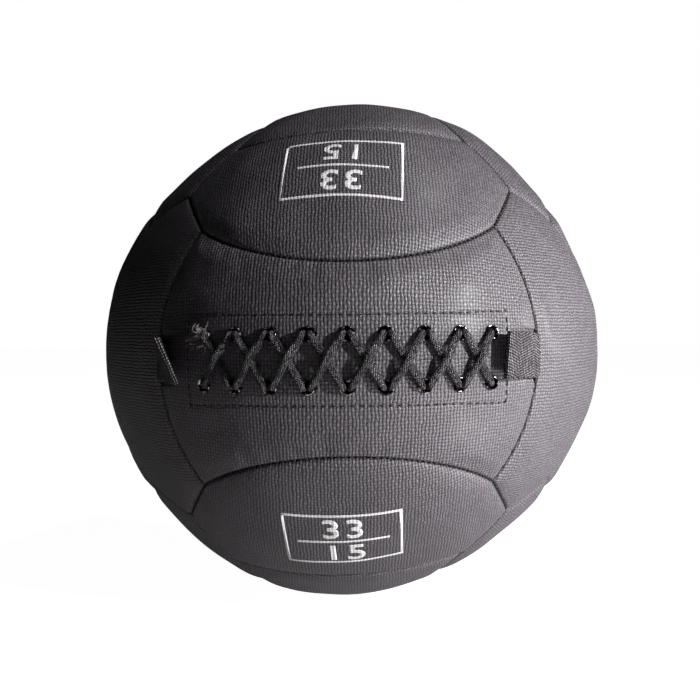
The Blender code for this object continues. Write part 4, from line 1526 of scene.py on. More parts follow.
@dataclass
class Eyelets:
    """The two rows of rolled steel eyelets, set by Geometry Nodes."""

    cover: StuffedCover
    finishes: Finishes
    wall: float = 0.0004
    bore: float = 0.0062
    rim: float = 0.0081
    around: int = 36

    def tree(self) -> NodeTree:
        """Makes the node tree: a rolled rim, a barrel and an inner washer at every point.

        Returns:
            The tree.
        """
        sizes = dict.fromkeys(("Bore", "Flange", "Rim Height", "Depth", "Wall"), "Float")
        inputs = {"Places": "Geometry", **sizes, "Around": "Int"}
        inputs |= {"Ball Centre": "Vector", "Material": "Material"}
        tree, given = new_group("eyelets_at_points", "GeometryNodeTree", inputs, ("Eyelets", "Geometry"))
        add = partial(add_node, tree)
        both = add("ShaderNodeMath", {0: given["Bore"], 1: given["Flange"]}, operation="ADD")
        middle = add("ShaderNodeMath", {0: both, 1: 0.25}, operation="MULTIPLY")
        apart = add("ShaderNodeMath", {0: given["Flange"], 1: given["Bore"]}, operation="SUBTRACT")
        tube = add("ShaderNodeMath", {0: apart, 1: 0.25}, operation="MULTIPLY")
        path = add("GeometryNodeCurvePrimitiveCircle", {"Resolution": given["Around"], "Radius": middle})
        round_one = add("GeometryNodeCurvePrimitiveCircle", {"Resolution": 12, "Radius": tube})
        ring = add("GeometryNodeCurveToMesh", {"Curve": path, "Profile Curve": round_one})
        flat = add("ShaderNodeMath", {0: given["Rim Height"], 1: tube}, operation="DIVIDE")
        squash = add("ShaderNodeCombineXYZ", {0: 1.0, 1: 1.0, 2: flat})
        rim = add("GeometryNodeTransform", {"Geometry": ring, "Scale": squash})
        half_bore = add("ShaderNodeMath", {0: given["Bore"], 1: 0.5}, operation="MULTIPLY")
        within = add("ShaderNodeMath", {0: given["Wall"], 1: 0.5, 2: half_bore}, operation="MULTIPLY_ADD")
        path = add("GeometryNodeCurvePrimitiveCircle", {"Resolution": given["Around"], "Radius": within})
        wall = {"Width": given["Wall"], "Height": given["Depth"]}
        section = add("GeometryNodeCurvePrimitiveQuadrilateral", wall)
        barrel = add("GeometryNodeCurveToMesh", {"Curve": path, "Profile Curve": section})
        lower = []
        for share in (-0.5, -1.0):
            down = add("ShaderNodeMath", {0: given["Depth"], 1: share}, operation="MULTIPLY")
            lower.append(add("ShaderNodeCombineXYZ", {2: down}))
        barrel = add("GeometryNodeTransform", {"Geometry": barrel, "Translation": lower[0]})
        washer = add("GeometryNodeTransform", {"Geometry": ring, "Scale": squash, "Translation": lower[1]})
        whole = add("GeometryNodeJoinGeometry")
        for part in (rim, barrel, washer):
            feed(tree, whole, {0: part})
        here = add("GeometryNodeInputPosition")
        outward = add("ShaderNodeVectorMath", {0: here, 1: given["Ball Centre"]}, operation="SUBTRACT")
        turned = add("FunctionNodeAlignRotationToVector", {"Vector": outward}, axis="Z", pivot_axis="AUTO")
        eyelets = {"Points": given["Places"], "Instance": whole, "Rotation": turned}
        real = add("GeometryNodeRealizeInstances", {0: add("GeometryNodeInstanceOnPoints", eyelets)})
        dressed = add("GeometryNodeSetMaterial", {"Geometry": real, "Material": given["Material"]})
        add("NodeGroupOutput", {0: dressed})
        return tree

    def build(self) -> list[Object]:
        """Sets all eyelets as one piece.

        Returns:
            The piece.
        """
        lacing, ball = self.cover.lacing, self.cover.ball
        places = np.array(lacing.places)
        rim_height = lacing.flange_thickness / 2
        points = ball.front_place(places[:, 0], places[:, 1], -(lacing.clearance + rim_height))
        mesh = bpy.data.meshes.new("eyelets")
        mesh.from_pydata(points.tolist(), [], [])
        values = {
            "Bore": self.bore,
            "Flange": self.rim,
            "Rim Height": rim_height,
            "Depth": lacing.eyelet_inner_depth + lacing.clearance + 2 * rim_height,
            "Wall": self.wall,
            "Around": self.around,
            "Ball Centre": tuple(ball.centre),
            "Material": self.finishes.steel,
        }
        piece = grown("eyelets", mesh, self.tree(), values)
        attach(piece, "ball")
        rows = ("upper", "lower")
        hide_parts(*(f"eyelet_{row}_{i + 1}" for row in rows for i in range(lacing.eyelets_in_row)))
        return [piece]


def smooth_through(points: Array, step: float) -> Array:
    """A smooth curve through points, read at nearly even steps.

    Args:
        points: Places with anything else that changes smoothly along the curve.
        step: The distance between two points of the result.

    Returns:
        The points of the curve.
    """
    padded = np.vstack((2 * points[0] - points[1], points, 2 * points[-1] - points[-2]))
    found = []
    for before, start, end, after in zip(padded, padded[1:], padded[2:], padded[3:]):
        count = max(2, round(float(np.linalg.norm(end[:3] - start[:3])) / step))
        t = np.linspace(0, 1, count, endpoint=False)[:, None]
        bend = 2 * start + (end - before) * t + (2 * before - 5 * start + 4 * end - after) * t**2
        found.append((bend + (3 * start - before - 3 * end + after) * t**3) / 2)
    return np.vstack((*found, points[-1:]))


def swept(
    points: Array, radii: Array, around: int, relief: Callable[[Array, Array], Array]
) -> tuple[Array, Array, Array]:
    """The skin of a round cord along points, open at both ends.

    Args:
        points: The cord's centre line.
        radii: Its radius at each point.
        around: How many points a ring has.
        relief: Gives the share by which the surface rises, from the turn (0 to 1) and the length so far.

    Returns:
        Points, quads, and each point's place on the flat cloth in millimetres.
    """
    runs = np.linalg.norm(np.diff(points, axis=0), axis=1)
    lengths = np.concatenate(((0.0,), np.cumsum(runs)))
    tangents = unit(np.gradient(points, axis=0))
    side = unit(np.cross(tangents[0], (0.3, 0.5, 0.8)))
    sides = [side]
    for tangent in tangents[1:]:
        side = unit(side - tangent * (side @ tangent))
        sides.append(side)
    sides = np.array(sides)
    others = np.cross(tangents, sides)
    turn = np.linspace(0, 1, around + 1)
    angles = math.tau * turn
    ring = np.cos(angles)[None, :, None] * sides[:, None] + np.sin(angles)[None, :, None] * others[:, None]
    rise = 1 + relief(turn[None], lengths[:, None])
    rise[:, -1] = rise[:, 0]
    skin = points[:, None] + ring * (radii[:, None] * rise)[..., None]
    rows, columns = skin.shape[:2]
    quads = grid_faces(rows, columns)
    mean = float(radii.max())
    places = np.stack(
        np.broadcast_arrays(MM_PER_M * math.tau * mean * turn[None], MM_PER_M * lengths[:, None]), axis=-1
    ).reshape(-1, 2)
    return skin.reshape(-1, 3), quads, places


@dataclass
class LacedCord:
    """The braided cord, laced in crosses through the eyelets, and its knot."""

    cover: StuffedCover
    finishes: Finishes
    around: int = 32
    step: float = 0.00052
    carriers: int = 10
    carrier_rise: float = 0.16
    lay_mm: float = 2.0
    knot_points: int = 90
    knot_flatness: float = 0.55
    knot_cord: float = 0.92

    def relief(self, turn: Array, length: Array) -> Array:
        """How far the braid's yarns stand out, as a share of the radius."""
        first = math.pi * (self.carriers * turn + length * MM_PER_M / self.lay_mm)
        second = math.pi * (self.carriers * turn - length * MM_PER_M / self.lay_mm)
        return self.carrier_rise * (np.maximum(np.abs(np.sin(first)), np.abs(np.sin(second))) - 1)

    def piece(self, name: str, line: Array, radii: Array, node: str) -> Object:
        """Builds a length of cord as a closed body, pressed flat where it is drawn tight.

        Args:
            name: The piece's name.
            line: Its centre line.
            radii: Its radius along the line.
            node: The node that it stands for.

        Returns:
            The piece.
        """
        points, quads, places = swept(line, radii, self.around, self.relief)
        columns = self.around + 1
        middles = np.repeat(line, columns, axis=0)
        outward = unit(middles - np.array(self.cover.ball.centre))
        pressed = 1 - np.minimum(1, self.cover.lacing.squeezed / 2 / np.repeat(radii, columns))
        points -= outward * (((points - middles) * outward).sum(axis=1) * pressed)[:, None]
        rows = len(points) // columns
        faces = [list(quad)[::-1] for quad in quads]
        ends = np.vstack((points[:columns].mean(axis=0), points[-columns:].mean(axis=0)))
        last = (rows - 1) * columns
        for j in range(self.around):
            faces.append([j, j + 1, len(points)])
            faces.append([last + j + 1, last + j, len(points) + 1])
        mesh = mesh_of(name, np.vstack((points, ends)), faces)
        set_map(mesh, np.vstack((places, places[:1], places[-1:])))
        mend(mesh, merge=1e-7)
        piece = new_object(name, mesh, self.finishes.cord)
        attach(piece, "ball")
        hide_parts(node)
        return piece

    def knot_line(self) -> Array:
        """The centre line of a knot that fills the knot's room.

        Returns:
            The line's points.
        """
        lacing, ball = self.cover.lacing, self.cover.ball
        t = np.linspace(0, math.tau, self.knot_points)
        x = np.sin(t) + 2 * np.sin(2 * t)
        y = np.cos(t) - 2 * np.cos(2 * t)
        z = -np.sin(3 * t)
        room = np.array((lacing.knot_diameter, lacing.knot_diameter * self.knot_flatness, lacing.knot_length))
        spread = np.stack((x, z, y), axis=1)
        spread = spread / np.abs(spread).max(axis=0) * (room / 2 - lacing.diameter_in_eyelet / 2)
        middle = ball.front_place(lacing.alongs[0] - lacing.knot_beyond_eyelet, 0.0, lacing.knot_depth)
        return middle + spread

    def build(self) -> list[Object]:
        """Builds the lace and its knot.

        Returns:
            Both pieces.
        """
        lacing, ball = self.cover.lacing, self.cover.ball
        places = np.array(lacing.route())
        line = ball.front_place(places[:, 0], places[:, 1], places[:, 2])
        line = smooth_through(np.column_stack((line, places[:, 3])), self.step)
        lace = self.piece("laced_cord", line[:, :3], line[:, 3], "lace")
        knot = self.knot_line()
        radii = np.full(len(knot), lacing.diameter_in_eyelet / 2 * self.knot_cord)
        return [lace, self.piece("cord_knot", knot, radii, "lace_knot")]


@dataclass
class FrayedFibres:
    """Loose fibres of the cord that stand out round its first eyelets."""

    cover: StuffedCover
    finishes: Finishes
    count: int = 44
    seed: int = 17
    thickness: float = 0.00017
    bends: int = 9
    sides: int = 4
    homes: tuple[tuple[float, float], ...] = ((0.0, 0.0), (-0.006, -0.004), (0.020, 0.0), (0.003, -0.005))
    crowding: tuple[float, ...] = (0.5, 0.15, 0.15, 0.2)
    scatter: float = 0.0017
    lengths: tuple[float, float] = (0.0025, 0.0075)
    heights: tuple[float, float] = (0.0012, 0.0030)
    arch: float = 0.0030

    def fibre(self, random: np.random.Generator, start: Array, length: float) -> Array:
        """One curled fibre as a closed tube's points, ring after ring.

        Args:
            random: Where its course comes from.
            start: Its first place, as arcs along and up.
            length: Its length.

        Returns:
            The points of the tube.
        """
        shares = np.linspace(0, 1, self.bends)
        heading = random.uniform(0, math.tau) + random.normal(0, 1.1) * shares + 0.5 * np.sin(9 * shares)
        steps = np.stack((np.cos(heading), np.sin(heading)), axis=1) * length / self.bends
        flat = start + np.cumsum(steps, axis=0)
        height = random.uniform(*self.heights) + random.uniform(0.0, self.arch) * np.sin(math.pi * shares)
        line = self.cover.ball.front_place(flat[:, 0], flat[:, 1], -height)
        radii = self.thickness / 2 * (1 - 0.75 * shares**3)
        tangents = unit(np.gradient(line, axis=0))
        side = unit(np.cross(tangents, Way.FRONT.vector + 0.31))
        other = np.cross(tangents, side)
        turns = np.linspace(0, math.tau, self.sides, endpoint=False)[None, :, None]
        ring = np.cos(turns) * side[:, None] + np.sin(turns) * other[:, None]
        return (line[:, None] + ring * radii[:, None, None]).reshape(-1, 3)

    def build(self) -> list[Object]:
        """Builds all fibres as one piece.

        Returns:
            The piece.
        """
        random = np.random.default_rng(self.seed)
        homes = np.array(self.homes) + self.cover.lacing.places[0]
        points, faces = [], []
        for _ in range(self.count):
            home = homes[random.choice(len(homes), p=self.crowding)]
            start = home + random.normal(0, self.scatter, 2)
            tube = self.fibre(random, start, random.uniform(*self.lengths))
            first = sum(len(p) for p in points)
            faces += (grid_faces(self.bends, self.sides, closed=True) + first).tolist()
            faces.append([first + i for i in range(self.sides)][::-1])
            faces.append([first + (self.bends - 1) * self.sides + i for i in range(self.sides)])
            points.append(tube)
        mesh = mesh_of("frayed_fibres", np.vstack(points), faces)
        mend(mesh)
        piece = new_object("frayed_fibres", mesh, self.finishes.frayed)
        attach(piece, "ball")
        return [piece]


@dataclass
class WebbingTab:
    """A tab of folded webbing with its tail in the end seam of the laced panel.

    Args:
        name: The piece's name.
        node: The node that it stands for.
        body: The body that it rides on.
        way: 1 at the right end of the lacing, -1 at the left.
        angle: Its angle to the cover.
        twist: How much steeper its upper edge stands than its middle.
        tilt: How far its free end is turned up, as a slope.
        curl: How far its free end bends to the cover.
        opening: How far the fold stands open at its lower and at its upper edge.
    """

    name: str
    node: str
    body: str
    way: int
    angle: float
    twist: float
    tilt: float
    curl: float
    opening: tuple[float, float]
    cover: StuffedCover
    finishes: Finishes
    width: float = 0.0250
    length: float = 0.0340
    webbing: float = 0.0011
    leg_gap: float = 0.0003
    hinge_depth: float = 0.0009
    tail: float = 0.0008
    crest: float = 0.0017
    from_seam: float = 0.0010
    edge_wave: tuple[float, float] = (0.00010, 0.0012)
    steps: int = 76
    across: int = 28

    def line(self, share: float) -> Array:
        """The folded webbing at one height, seen from its edge.

        Args:
            share: The height, from -1 at the lower edge to 1 at the upper one.

        Returns:
            Points as (inwards from the seam, out of the ball).
        """
        spacing = self.webbing + self.leg_gap
        apart = spacing + (self.opening[0] * (1 - share) + self.opening[1] * (1 + share)) / 2
        angle = self.angle + self.twist * share
        reach = np.array((math.cos(angle), math.sin(angle)))
        rise = np.array((-reach[1], reach[0]))
        hinge = np.array((0.0, -self.hinge_depth))
        root = hinge + reach * spacing
        crest = min(apart / 2, self.crest)
        free = self.length - crest - self.webbing / 2 - spacing

        def ply(part: float, height: float) -> Array:
            """A point on a ply: a share of its free length, and its height over the lower ply's root."""
            return root + reach * free * part + rise * (height - self.curl * part**2)

        points = [hinge - np.array((0.0, self.tail)), hinge, root]
        points += [ply(part, (spacing - apart) * ease(np.array(part))) for part in (0.35, 0.7, 1.0)]
        for turn in np.linspace(0, math.pi, 9)[1:-1]:
            out = reach * crest * math.sin(turn) ** 0.6 + rise * (1 - math.cos(turn)) * apart / 2
            points.append(ply(1.0, spacing - apart) + out)
        points += [ply(part, spacing) for part in (1.0, 0.7, 0.35, 0.0)]
        flat = np.column_stack((np.array(points), np.zeros(len(points))))
        fine = smooth_through(flat, self.length / self.steps)[:, :2]
        so_far = np.concatenate(((0.0,), np.cumsum(np.linalg.norm(np.diff(fine, axis=0), axis=1))))
        even = np.linspace(0, so_far[-1], 2 * self.steps)
        return np.stack([np.interp(even, so_far, fine[:, axis]) for axis in (0, 1)], axis=1)

    def build(self) -> list[Object]:
        """Builds the tab and lets it ride on its own body.

        Returns:
            The tab.
        """
        ball, pattern = self.cover.ball, self.cover.pattern
        outward = np.array((self.way * math.sin(pattern.end_angle), -math.cos(pattern.end_angle), 0.0))
        inward = np.array((-self.way * math.cos(pattern.end_angle), -math.sin(pattern.end_angle), 0.0))
        seat = ball.place(outward) + self.from_seam * inward
        shares = np.linspace(-1, 1, self.across + 1)
        shares = np.sign(shares) * (1 - (1 - np.abs(shares)) ** 1.25)
        lines = np.stack([self.line(share) for share in shares], axis=1)
        tangents = unit(np.gradient(lines, axis=0))
        normals = np.stack((-tangents[..., 1], tangents[..., 0]), axis=-1)
        half = self.webbing / 2 * np.sqrt(np.clip(1 - np.abs(shares) ** 14, 0.12, 1))
        so_far = np.linspace(0, 1, len(lines))[:, None]
        lengths = so_far * 2 * self.length
        edge_wave = self.edge_wave[0] * np.sin(math.tau * lengths / self.edge_wave[1])
        askew = self.tilt * (0.3 + 0.7 * ease((so_far - 0.35) / 0.3))
        height = shares[None] * (self.width / 2 + edge_wave)
        skins = []
        for side in (1, -1):
            at = lines + side * normals * half[None, :, None]
            along = at[..., 0] * (1 - askew * height / self.length)
            flat = seat + along[..., None] * inward + at[..., 1:2] * outward
            flat[..., 2] += height + askew * at[..., 0]
            skins.append(flat.reshape(-1, 3))
        quads = grid_faces(*lines.shape[:2])
        points, faces = slab(skins[0], skins[1], quads)
        mesh = mesh_of(self.name, points, faces)
        places = np.broadcast_arrays(MM_PER_M * shares[None] * self.width / 2, MM_PER_M * lengths)
        places = np.stack(places, axis=-1).reshape(-1, 2)
        set_map(mesh, np.vstack((places, places)))
        mend(mesh)
        piece = new_object(self.name, mesh, self.finishes.webbing)
        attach(piece, self.body)
        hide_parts(self.node)
        return [piece]


@dataclass
class Backing:
    """The facing and the tongue behind the lacing."""

    cover: StuffedCover
    finishes: Finishes
    step: float = 0.0010
    ripple: float = 0.00008
    ripple_along: float = 0.013
    ripple_up: float = 0.017

    def sheet(
        self, name: str, node: str, half: tuple[float, float], depth: float, thick: float, holes: bool
    ) -> Object:
        """Builds one flat sheet that follows the front of the ball.

        Args:
            name: The piece's name.
            node: The node that it stands for.
            half: Half its length and half its width.
            depth: Depth of its outer surface.
            thick: Its thickness.
            holes: Whether the slit and the eyelet holes go through it.

        Returns:
            The sheet.
        """
        ball = self.cover.ball
        alongs = np.linspace(-half[0], half[0], math.ceil(2 * half[0] / self.step) + 1)
        half_count = math.ceil(half[1] / self.step) + 1
        ups = np.linspace(-half[1], half[1], 2 * half_count)
        ups[half_count - 1 : half_count + 1] = (-self.cover.slit_half_gap, self.cover.slit_half_gap)
        grid_along, grid_up = np.meshgrid(alongs, ups, indexing="ij")
        ways = ball.front_direction(grid_along, grid_up)
        quads = grid_faces(len(alongs), len(ups))
        if holes:
            ways, quads = self.cover.with_holes(ways, quads)
        wave_along, wave_up = math.tau * grid_along / self.ripple_along, math.tau * grid_up / self.ripple_up
        ripple = self.ripple * np.sin(wave_along) * np.cos(wave_up)
        outer = ball.place(ways, depth + ripple).reshape(-1, 3)
        inner = ball.place(ways, depth + ripple + thick).reshape(-1, 3)
        points, faces = slab(outer, inner, quads)
        mesh = mesh_of(name, points, faces)
        places = MM_PER_M * np.stack((grid_along, grid_up), axis=-1).reshape(-1, 2)
        set_map(mesh, np.vstack((places, places)))
        mend(mesh, turn=False)
        piece = new_object(name, mesh, self.finishes.backing)
        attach(piece, "ball")
        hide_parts(node)
        return piece

    def build(self) -> list[Object]:
        """Builds the facing and the tongue.

        Returns:
            Both sheets.
        """
        lacing = self.cover.lacing
        half = (lacing.half_length, lacing.half_width)
        wider = (half[0] + lacing.tongue_beyond_facing, half[1] + lacing.tongue_beyond_facing)
        facing = (lacing.facing_depth, lacing.facing_thickness)
        tongue = (lacing.tongue_depth, lacing.tongue_thickness)
        return [
            self.sheet("facing_sheet", "lacing_facing", half, *facing, True),
            self.sheet("tongue_sheet", "tongue", wider, *tongue, False),
        ]


@dataclass
class InnerLayers:
    """Padding, lining, filling and core, which the cover hides."""

    ball: StuffedBall
    lacing: Lacing
    finishes: Finishes
    allowance: float = 0.0019
    clearance: float = 0.0005
    padding_thickness: float = 0.0120
    lining_thickness: float = 0.0012
    mouth_radius: float = 0.0360
    core_radius: float = 0.0600
    panel_dip: float = 0.0022
    around: int = 96
    rings: int = 40
    lump: float = 0.0003
    recess_room: float = 0.0045
    recess_ramp: float = 0.006
    pole: float = 0.01

    def skin(self, turns: Array, depth: float, phase: float) -> Array:
        """Rings of points round the front-to-back axis, at angles from the front.

        Args:
            turns: Angles of the rings from the front.
            depth: How deep the skin lies.
            phase: Where its small lumps start.

        Returns:
            The points, ring by ring.
        """
        angles = np.linspace(0, math.tau, self.around, endpoint=False)
        across = np.stack((np.cos(angles), 0 * angles, np.sin(angles)), axis=1)
        front = Way.FRONT.vector
        ways = np.cos(turns)[:, None, None] * front + np.sin(turns)[:, None, None] * across[None]
        lumps = self.lump * np.sin(23 * ways[..., 0] + phase) * np.sin(19 * ways[..., 2] + 2 * phase)
        lumps = lumps * np.sin(21 * ways[..., 1])
        along, up = self.ball.front_arcs(ways)
        recess = self.lacing.tongue_depth + self.lacing.tongue_thickness + self.lacing.clearance
        half_length, half_width = (
            half + self.recess_room for half in (self.lacing.half_length, self.lacing.half_width)
        )
        outside = np.maximum(np.abs(along) - half_length, np.abs(up) - half_width)
        held = (1 - ease(outside / self.recess_ramp)) * (ways[..., 1] < 0)
        depths = depth + max(recess - depth, 0.0) * held
        return self.ball.place(ways, depths + self.lump + lumps)

    def shell(
        self, name: str, node: str, turns: Array, depth: float, inner: float | None, finish: Material
    ) -> Object:
        """Builds one layer as a closed body.

        Args:
            name: The piece's name.
            node: The node that it stands for.
            turns: Angles of its rings from the front.
            depth: Depth of its outer surface.
            inner: Depth of its inner surface, or None for a solid one.
            finish: Its material.

        Returns:
            The layer.
        """
        rows = [self.skin(turns, depth, len(name))]
        if inner is not None:
            rows.append(self.skin(turns[::-1], inner, len(node)))
        points = np.concatenate(rows)
        count, columns = points.shape[:2]
        faces = [list(quad) for quad in grid_faces(count, columns, closed=True)]
        flat = points.reshape(-1, 3)
        for row in (0, count - 1):
            ring = list(range(row * columns, (row + 1) * columns))
            tip = len(flat)
            flat = np.vstack((flat, flat[ring].mean(axis=0)))
            faces += [[ring[i], ring[(i + 1) % columns], tip] for i in range(columns)]
        mesh = mesh_of(name, flat, faces)
        ways = unit(flat - self.ball.centre)
        angles = np.stack((np.arctan2(ways[:, 0], -ways[:, 1]), np.arcsin(ways[:, 2])), axis=1)
        set_map(mesh, MM_PER_M * self.ball.radius * angles)
        mend(mesh)
        piece = new_object(name, mesh, finish)
        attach(piece, "ball")
        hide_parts(node)
        return piece

    def build(self) -> list[Object]:
        """Builds every layer from the outside in.

        Returns:
            The layers.
        """
        lacing = self.lacing
        padding = self.panel_dip + lacing.cover_thickness + lacing.clearance + self.allowance
        lining = padding + self.padding_thickness + self.clearance
        filling = lining + self.lining_thickness + self.clearance
        core = self.ball.radius - self.core_radius
        gap = self.clearance / 2 / self.core_radius
        front = np.linspace(self.pole, math.pi / 2 - gap, self.rings)
        back = np.linspace(math.pi - self.pole, math.pi / 2 + gap, self.rings)
        felt, bottom = padding + self.padding_thickness - self.clearance, core - 2 * self.clearance
        layers, looks = [], self.finishes
        for side, turns in (("front", front), ("back", back)):
            layers += [
                self.shell(f"padding_felt_{side}", f"padding_{side}", turns, padding, felt, looks.felt),
                self.shell(f"filling_fibre_{side}", f"filling_{side}", turns, filling, bottom, looks.fibre),
            ]
        mouth = np.linspace(math.pi - self.pole, self.mouth_radius / self.ball.radius, 2 * self.rings)
        inside = lining + self.lining_thickness - self.lump
        layers.append(self.shell("lining_cloth_bag", "lining_bag", mouth, lining, inside, looks.lining))
        whole = np.linspace(self.pole, math.pi - self.pole, 2 * self.rings)
        layers.append(self.shell("core_canvas_bag", "core_weight", whole, core, None, looks.canvas))
        return layers


@dataclass
class Print:
    """A screen-printed frame with plain numbers on a front panel."""

    panel: str
    middle: tuple[float, float]
    size: tuple[float, float]
    turn: float
    cover: StuffedCover
    finishes: Finishes
    numbers: tuple[str, str] = ("33", "15")
    line: float = 0.0017
    divider: float = 0.053
    figure: float = 0.0152
    figure_share: float = 0.70
    figure_width: float = 1.12
    stroke: float = 0.0004
    lift: float = 0.00012
    cell: float = 0.0020
    thickness: float = 0.00010

    def flat_shapes(self) -> bmesh.types.BMesh:
        """The frame, its divider and the numbers, flat in the XY plane.

        Returns:
            The shapes.
        """
        made = bmesh.new()
        half = np.array(self.size) / 2
        bars = (
            (-half[0], -half[1], half[0], -half[1] + self.line),
            (-half[0], half[1] - self.line, half[0], half[1]),
            (-half[0], -half[1] + self.line, -half[0] + self.line, half[1] - self.line),
            (half[0] - self.line, -half[1] + self.line, half[0], half[1] - self.line),
            (-self.divider / 2, -self.line / 2, self.divider / 2, self.line / 2),
        )
        for x0, y0, x1, y1 in bars:
            corners = [made.verts.new((x, y, 0.0)) for x, y in ((x0, y0), (x1, y0), (x1, y1), (x0, y1))]
            made.faces.new(corners)
        for text, centre in zip(self.numbers, (0.25, -0.25)):
            self.add_number(made, text, centre * self.size[1])
        return made

    def add_number(self, made: bmesh.types.BMesh, text: str, height: float) -> None:
        """Adds one number, centred at a height, to the flat shapes.

        Args:
            made: The flat shapes.
            text: The number.
            height: The height of its middle.
        """
        data = bpy.data.curves.new(f"number_{text}", "FONT")
        data.body = text
        data.align_x = "CENTER"
        data.size = self.figure / self.figure_share
        data.offset = self.stroke
        data.space_character = self.figure_width
        data.resolution_u = 4
        holder = bpy.data.objects.new(data.name, data)
        bpy.context.scene.collection.objects.link(holder)
        flat = plain_mesh(holder)
        wider = Matrix.Diagonal((self.figure_width, 1.0, 1.0, 1.0))
        flat.transform(Matrix.Translation((0.0, height - self.figure / 2, 0.0)) @ wider)
        made.from_mesh(flat)
        bpy.data.objects.remove(holder, do_unlink=True)
        bpy.data.meshes.remove(flat)

    def build(self) -> list[Object]:
        """Lays the print on its panel.

        Returns:
            The print.
        """
        panel = next(panel for panel in self.cover.panels if panel.name == self.panel)
        made = self.flat_shapes()
        bmesh.ops.remove_doubles(made, verts=made.verts, dist=1e-6)
        bmesh.ops.triangulate(made, faces=made.faces)
        reach = max(self.size) / 2
        for normal in (Vector((1.0, 0.0, 0.0)), Vector((0.0, 1.0, 0.0))):
            for at in np.arange(-reach, reach, self.cell):
                every = made.verts[:] + made.edges[:] + made.faces[:]
                point = normal * float(at)
                bmesh.ops.bisect_plane(made, geom=every, plane_co=point, plane_no=normal, dist=1e-7)
        flat = np.array([v.co[:2] for v in made.verts])
        cosine, sine = math.cos(self.turn), math.sin(self.turn)
        turned = np.array(((cosine, -sine), (sine, cosine)))
        right = Way.RIGHT.vector
        upward = np.cross(right, panel.middle)
        upward = upward if upward[2] > 0 else -upward
        places = flat @ turned.T + np.array(self.middle)
        reach_out = np.linalg.norm(places, axis=1, keepdims=True)
        ways = places[:, :1] * right + places[:, 1:] * upward
        ways = ways / np.maximum(reach_out, 1e-9)
        angle = reach_out / self.cover.ball.radius
        ways = np.cos(angle) * panel.middle + np.sin(angle) * ways
        on = self.cover.on_skin(self.panel, ways, self.lift)
        cloth = panel.cloth_places(ways, self.cover.ball.radius)
        for vertex, place in zip(made.verts, on):
            vertex.co = place
        name = f"print_{self.panel}"
        mesh = bpy.data.meshes.new(name)
        made.to_mesh(mesh)
        made.free()
        set_map(mesh, cloth)
        piece = new_object(name, mesh, self.finishes.ink)
        self.face_outwards(piece)
        solid = piece.modifiers.new("ink_thickness", "SOLIDIFY")
        solid.thickness = self.thickness
        solid.offset = -1.0
        plain = plain_mesh(piece)
        piece.modifiers.clear()
        piece.data = plain
        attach(piece, "ball")
        return [piece]

    def face_outwards(self, piece: Object) -> None:
        """Turns every face of the print away from the ball's centre."""
        made = bmesh.new()
        made.from_mesh(piece.data)
        centre = Vector(self.cover.ball.centre)
        made.normal_update()
        inward = [f for f in made.faces if f.normal.dot(f.calc_center_median() - centre) < 0]
        bmesh.ops.reverse_faces(made, faces=inward)
        made.to_mesh(piece.data)
        made.free()


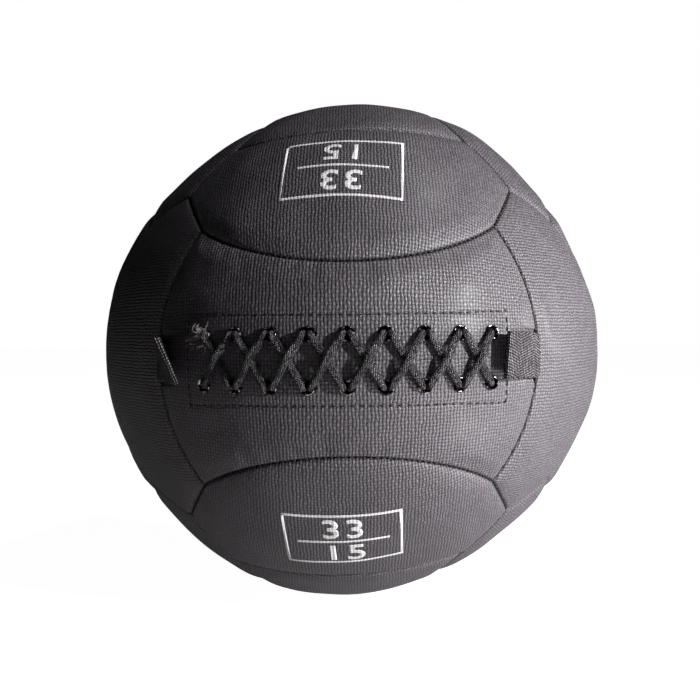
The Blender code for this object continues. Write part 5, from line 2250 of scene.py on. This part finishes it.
@dataclass
class Studio:
    """Floor, light and the camera at the photograph's viewing angle."""

    ball: StuffedBall
    distance: float = 0.525
    yaw: float = math.radians(0.6)
    rise: float = math.radians(1.9)
    roll: float = math.radians(0.5)
    lens: float = 35.20
    sensor: float = 36.0
    shift: tuple[float, float] = (-0.0006, -0.0014)
    floor_half: float = 6.0
    floor_white: float = 0.985
    floor_gloss: float = 0.10
    fill: float = 0.0015
    gloss_fill: float = 0.008

    @staticmethod
    def way(turn: float, rise: float) -> Vector:
        """The way from the ball to a place round it: 0, 0 is in front, and a turn goes to the right."""
        return Vector((math.sin(turn) * math.cos(rise), -math.cos(turn) * math.cos(rise), math.sin(rise)))

    def camera(self) -> None:
        """Creates the camera."""
        data = bpy.data.cameras.new("camera")
        data.lens, data.sensor_width = self.lens, self.sensor
        data.shift_x, data.shift_y = self.shift
        data.clip_start = 0.02
        camera = bpy.data.objects.new("camera", data)
        back = self.way(self.yaw, self.rise)
        level = Vector((math.cos(self.yaw), math.sin(self.yaw), 0.0))
        upright = back.cross(level)
        right = math.cos(self.roll) * level - math.sin(self.roll) * upright
        top = math.sin(self.roll) * level + math.cos(self.roll) * upright
        turn = Matrix((right, top, back)).transposed().to_4x4()
        camera.matrix_world = Matrix.Translation(Vector(self.ball.centre) + back * self.distance) @ turn
        bpy.context.scene.collection.objects.link(camera)
        bpy.context.scene.camera = camera

    def lamp(
        self, name: str, azimuth: float, height: float, distance: float, size: float, watts: float
    ) -> None:
        """Hangs an area lamp that looks at the ball.

        Args:
            name: The lamp's name.
            azimuth: Degrees to the right of the front.
            height: Degrees above the ball's middle.
            distance: Its distance from it.
            size: Its diameter.
            watts: Its power.
        """
        data = bpy.data.lights.new(name, "AREA")
        data.shape, data.size, data.energy = "DISK", size, watts
        lamp = bpy.data.objects.new(name, data)
        way = self.way(math.radians(azimuth), math.radians(height))
        lamp.location = Vector(self.ball.centre) + way * distance
        lamp.rotation_euler = way.to_track_quat("Z", "Y").to_euler()
        bpy.context.scene.collection.objects.link(lamp)

    def floor(self) -> None:
        """Lays a pale floor, which the camera sees as white with the ball's shadow on it."""
        half = self.floor_half
        corners = [(-half, -half, 0.0), (half, -half, 0.0), (half, half, 0.0), (-half, half, 0.0)]
        material, tree, shader = new_material("white_paper")
        add = partial(add_node, tree)
        feed(tree, shader, {"Base Color": linear("#b9b8b7"), "Roughness": 0.9})
        rays = add("ShaderNodeLightPath").outputs
        gloss = add("ShaderNodeMath", {0: rays["Is Glossy Ray"], 1: self.floor_gloss}, operation="MULTIPLY")
        strength = add("ShaderNodeMapRange", {0: rays["Is Camera Ray"], 3: gloss, 4: self.floor_white})
        white = add("ShaderNodeEmission", {"Strength": strength})
        both = add("ShaderNodeAddShader", {0: shader, 1: white})
        feed(tree, tree.nodes["Material Output"], {"Surface": both})
        floor = new_object("floor", mesh_of("floor", np.array(corners), [(0, 1, 2, 3)]), material)

    def world(self) -> None:
        """Lights the ball evenly from all round and puts plain white behind it."""
        world = bpy.data.worlds.new("white_studio")
        world.use_nodes = True
        tree = world.node_tree
        add = partial(add_node, tree)
        rays = add("ShaderNodeLightPath").outputs
        either = {0: rays["Is Camera Ray"], 1: rays["Is Transmission Ray"]}
        seen = add("ShaderNodeMath", either, operation="MAXIMUM")
        gloss = add("ShaderNodeMapRange", {0: rays["Is Glossy Ray"], 3: self.fill, 4: self.gloss_fill})
        strength = add("ShaderNodeMapRange", {0: seen, 3: gloss, 4: 1.0})
        feed(tree, tree.nodes["Background"], {"Strength": strength, "Color": (1.0, 1.0, 1.0, 1.0)})
        bpy.context.scene.world = world

    def build(self) -> None:
        """Sets up the whole studio."""
        self.camera()
        self.floor()
        self.world()
        self.lamp("key", 49.0, 11.0, 0.75, 0.05, 6.6)
        self.lamp("side", 86.0, 6.0, 1.0, 0.10, 6.0)
        self.lamp("low", 44.0, -25.0, 0.39, 0.05, 0.55)
        self.lamp("top", 70.0, 62.0, 1.2, 0.12, 4.4)
        bpy.context.scene.view_settings.view_transform = "Standard"


def main() -> None:
    """Builds the dressed ball in its studio and reports each piece."""
    logging.basicConfig(level=logging.INFO, format="%(name)s: %(message)s")
    ball, pattern, lacing = StuffedBall(), SeamPattern(), Lacing()
    Studio(ball).build()
    finishes = Finishes.mix()
    cover = StuffedCover(ball, pattern, lacing, finishes)
    left_tab = WebbingTab(
        "webbing_tab_left", "tab_left", "left_tab", way=-1, angle=math.radians(28.5), twist=math.radians(9.0),
        tilt=0.0, curl=0.0, opening=(0.0, 0.0010), crest=0.0006, cover=cover, finishes=finishes,
    )
    right_tab = WebbingTab(
        "webbing_tab_right", "tab_right", "right_tab", way=1, angle=math.radians(12.0),
        twist=math.radians(1.0), tilt=0.07, curl=0.0012, opening=(0.0004, 0.0002), crest=0.0010,
        length=0.0353, cover=cover, finishes=finishes,
    )
    upper, lower = math.radians(177.0), math.radians(2.8)
    for assembly in (
        cover,
        Stitching(cover, finishes),
        Eyelets(cover, finishes),
        LacedCord(cover, finishes),
        FrayedFibres(cover, finishes),
        left_tab,
        right_tab,
        InnerLayers(ball, lacing, finishes),
        Backing(cover, finishes),
        Print("front_top", (-0.0025, -0.0203), (0.070, 0.0505), upper, cover, finishes),
        Print("front_bottom", (-0.0033, 0.0247), (0.0687, 0.0453), lower, cover, finishes),
    ):
        for piece in assembly.build():
            LOG.info("%s: %d faces", piece.name, len(piece.data.polygons))


if __name__ == "__main__":
    main()
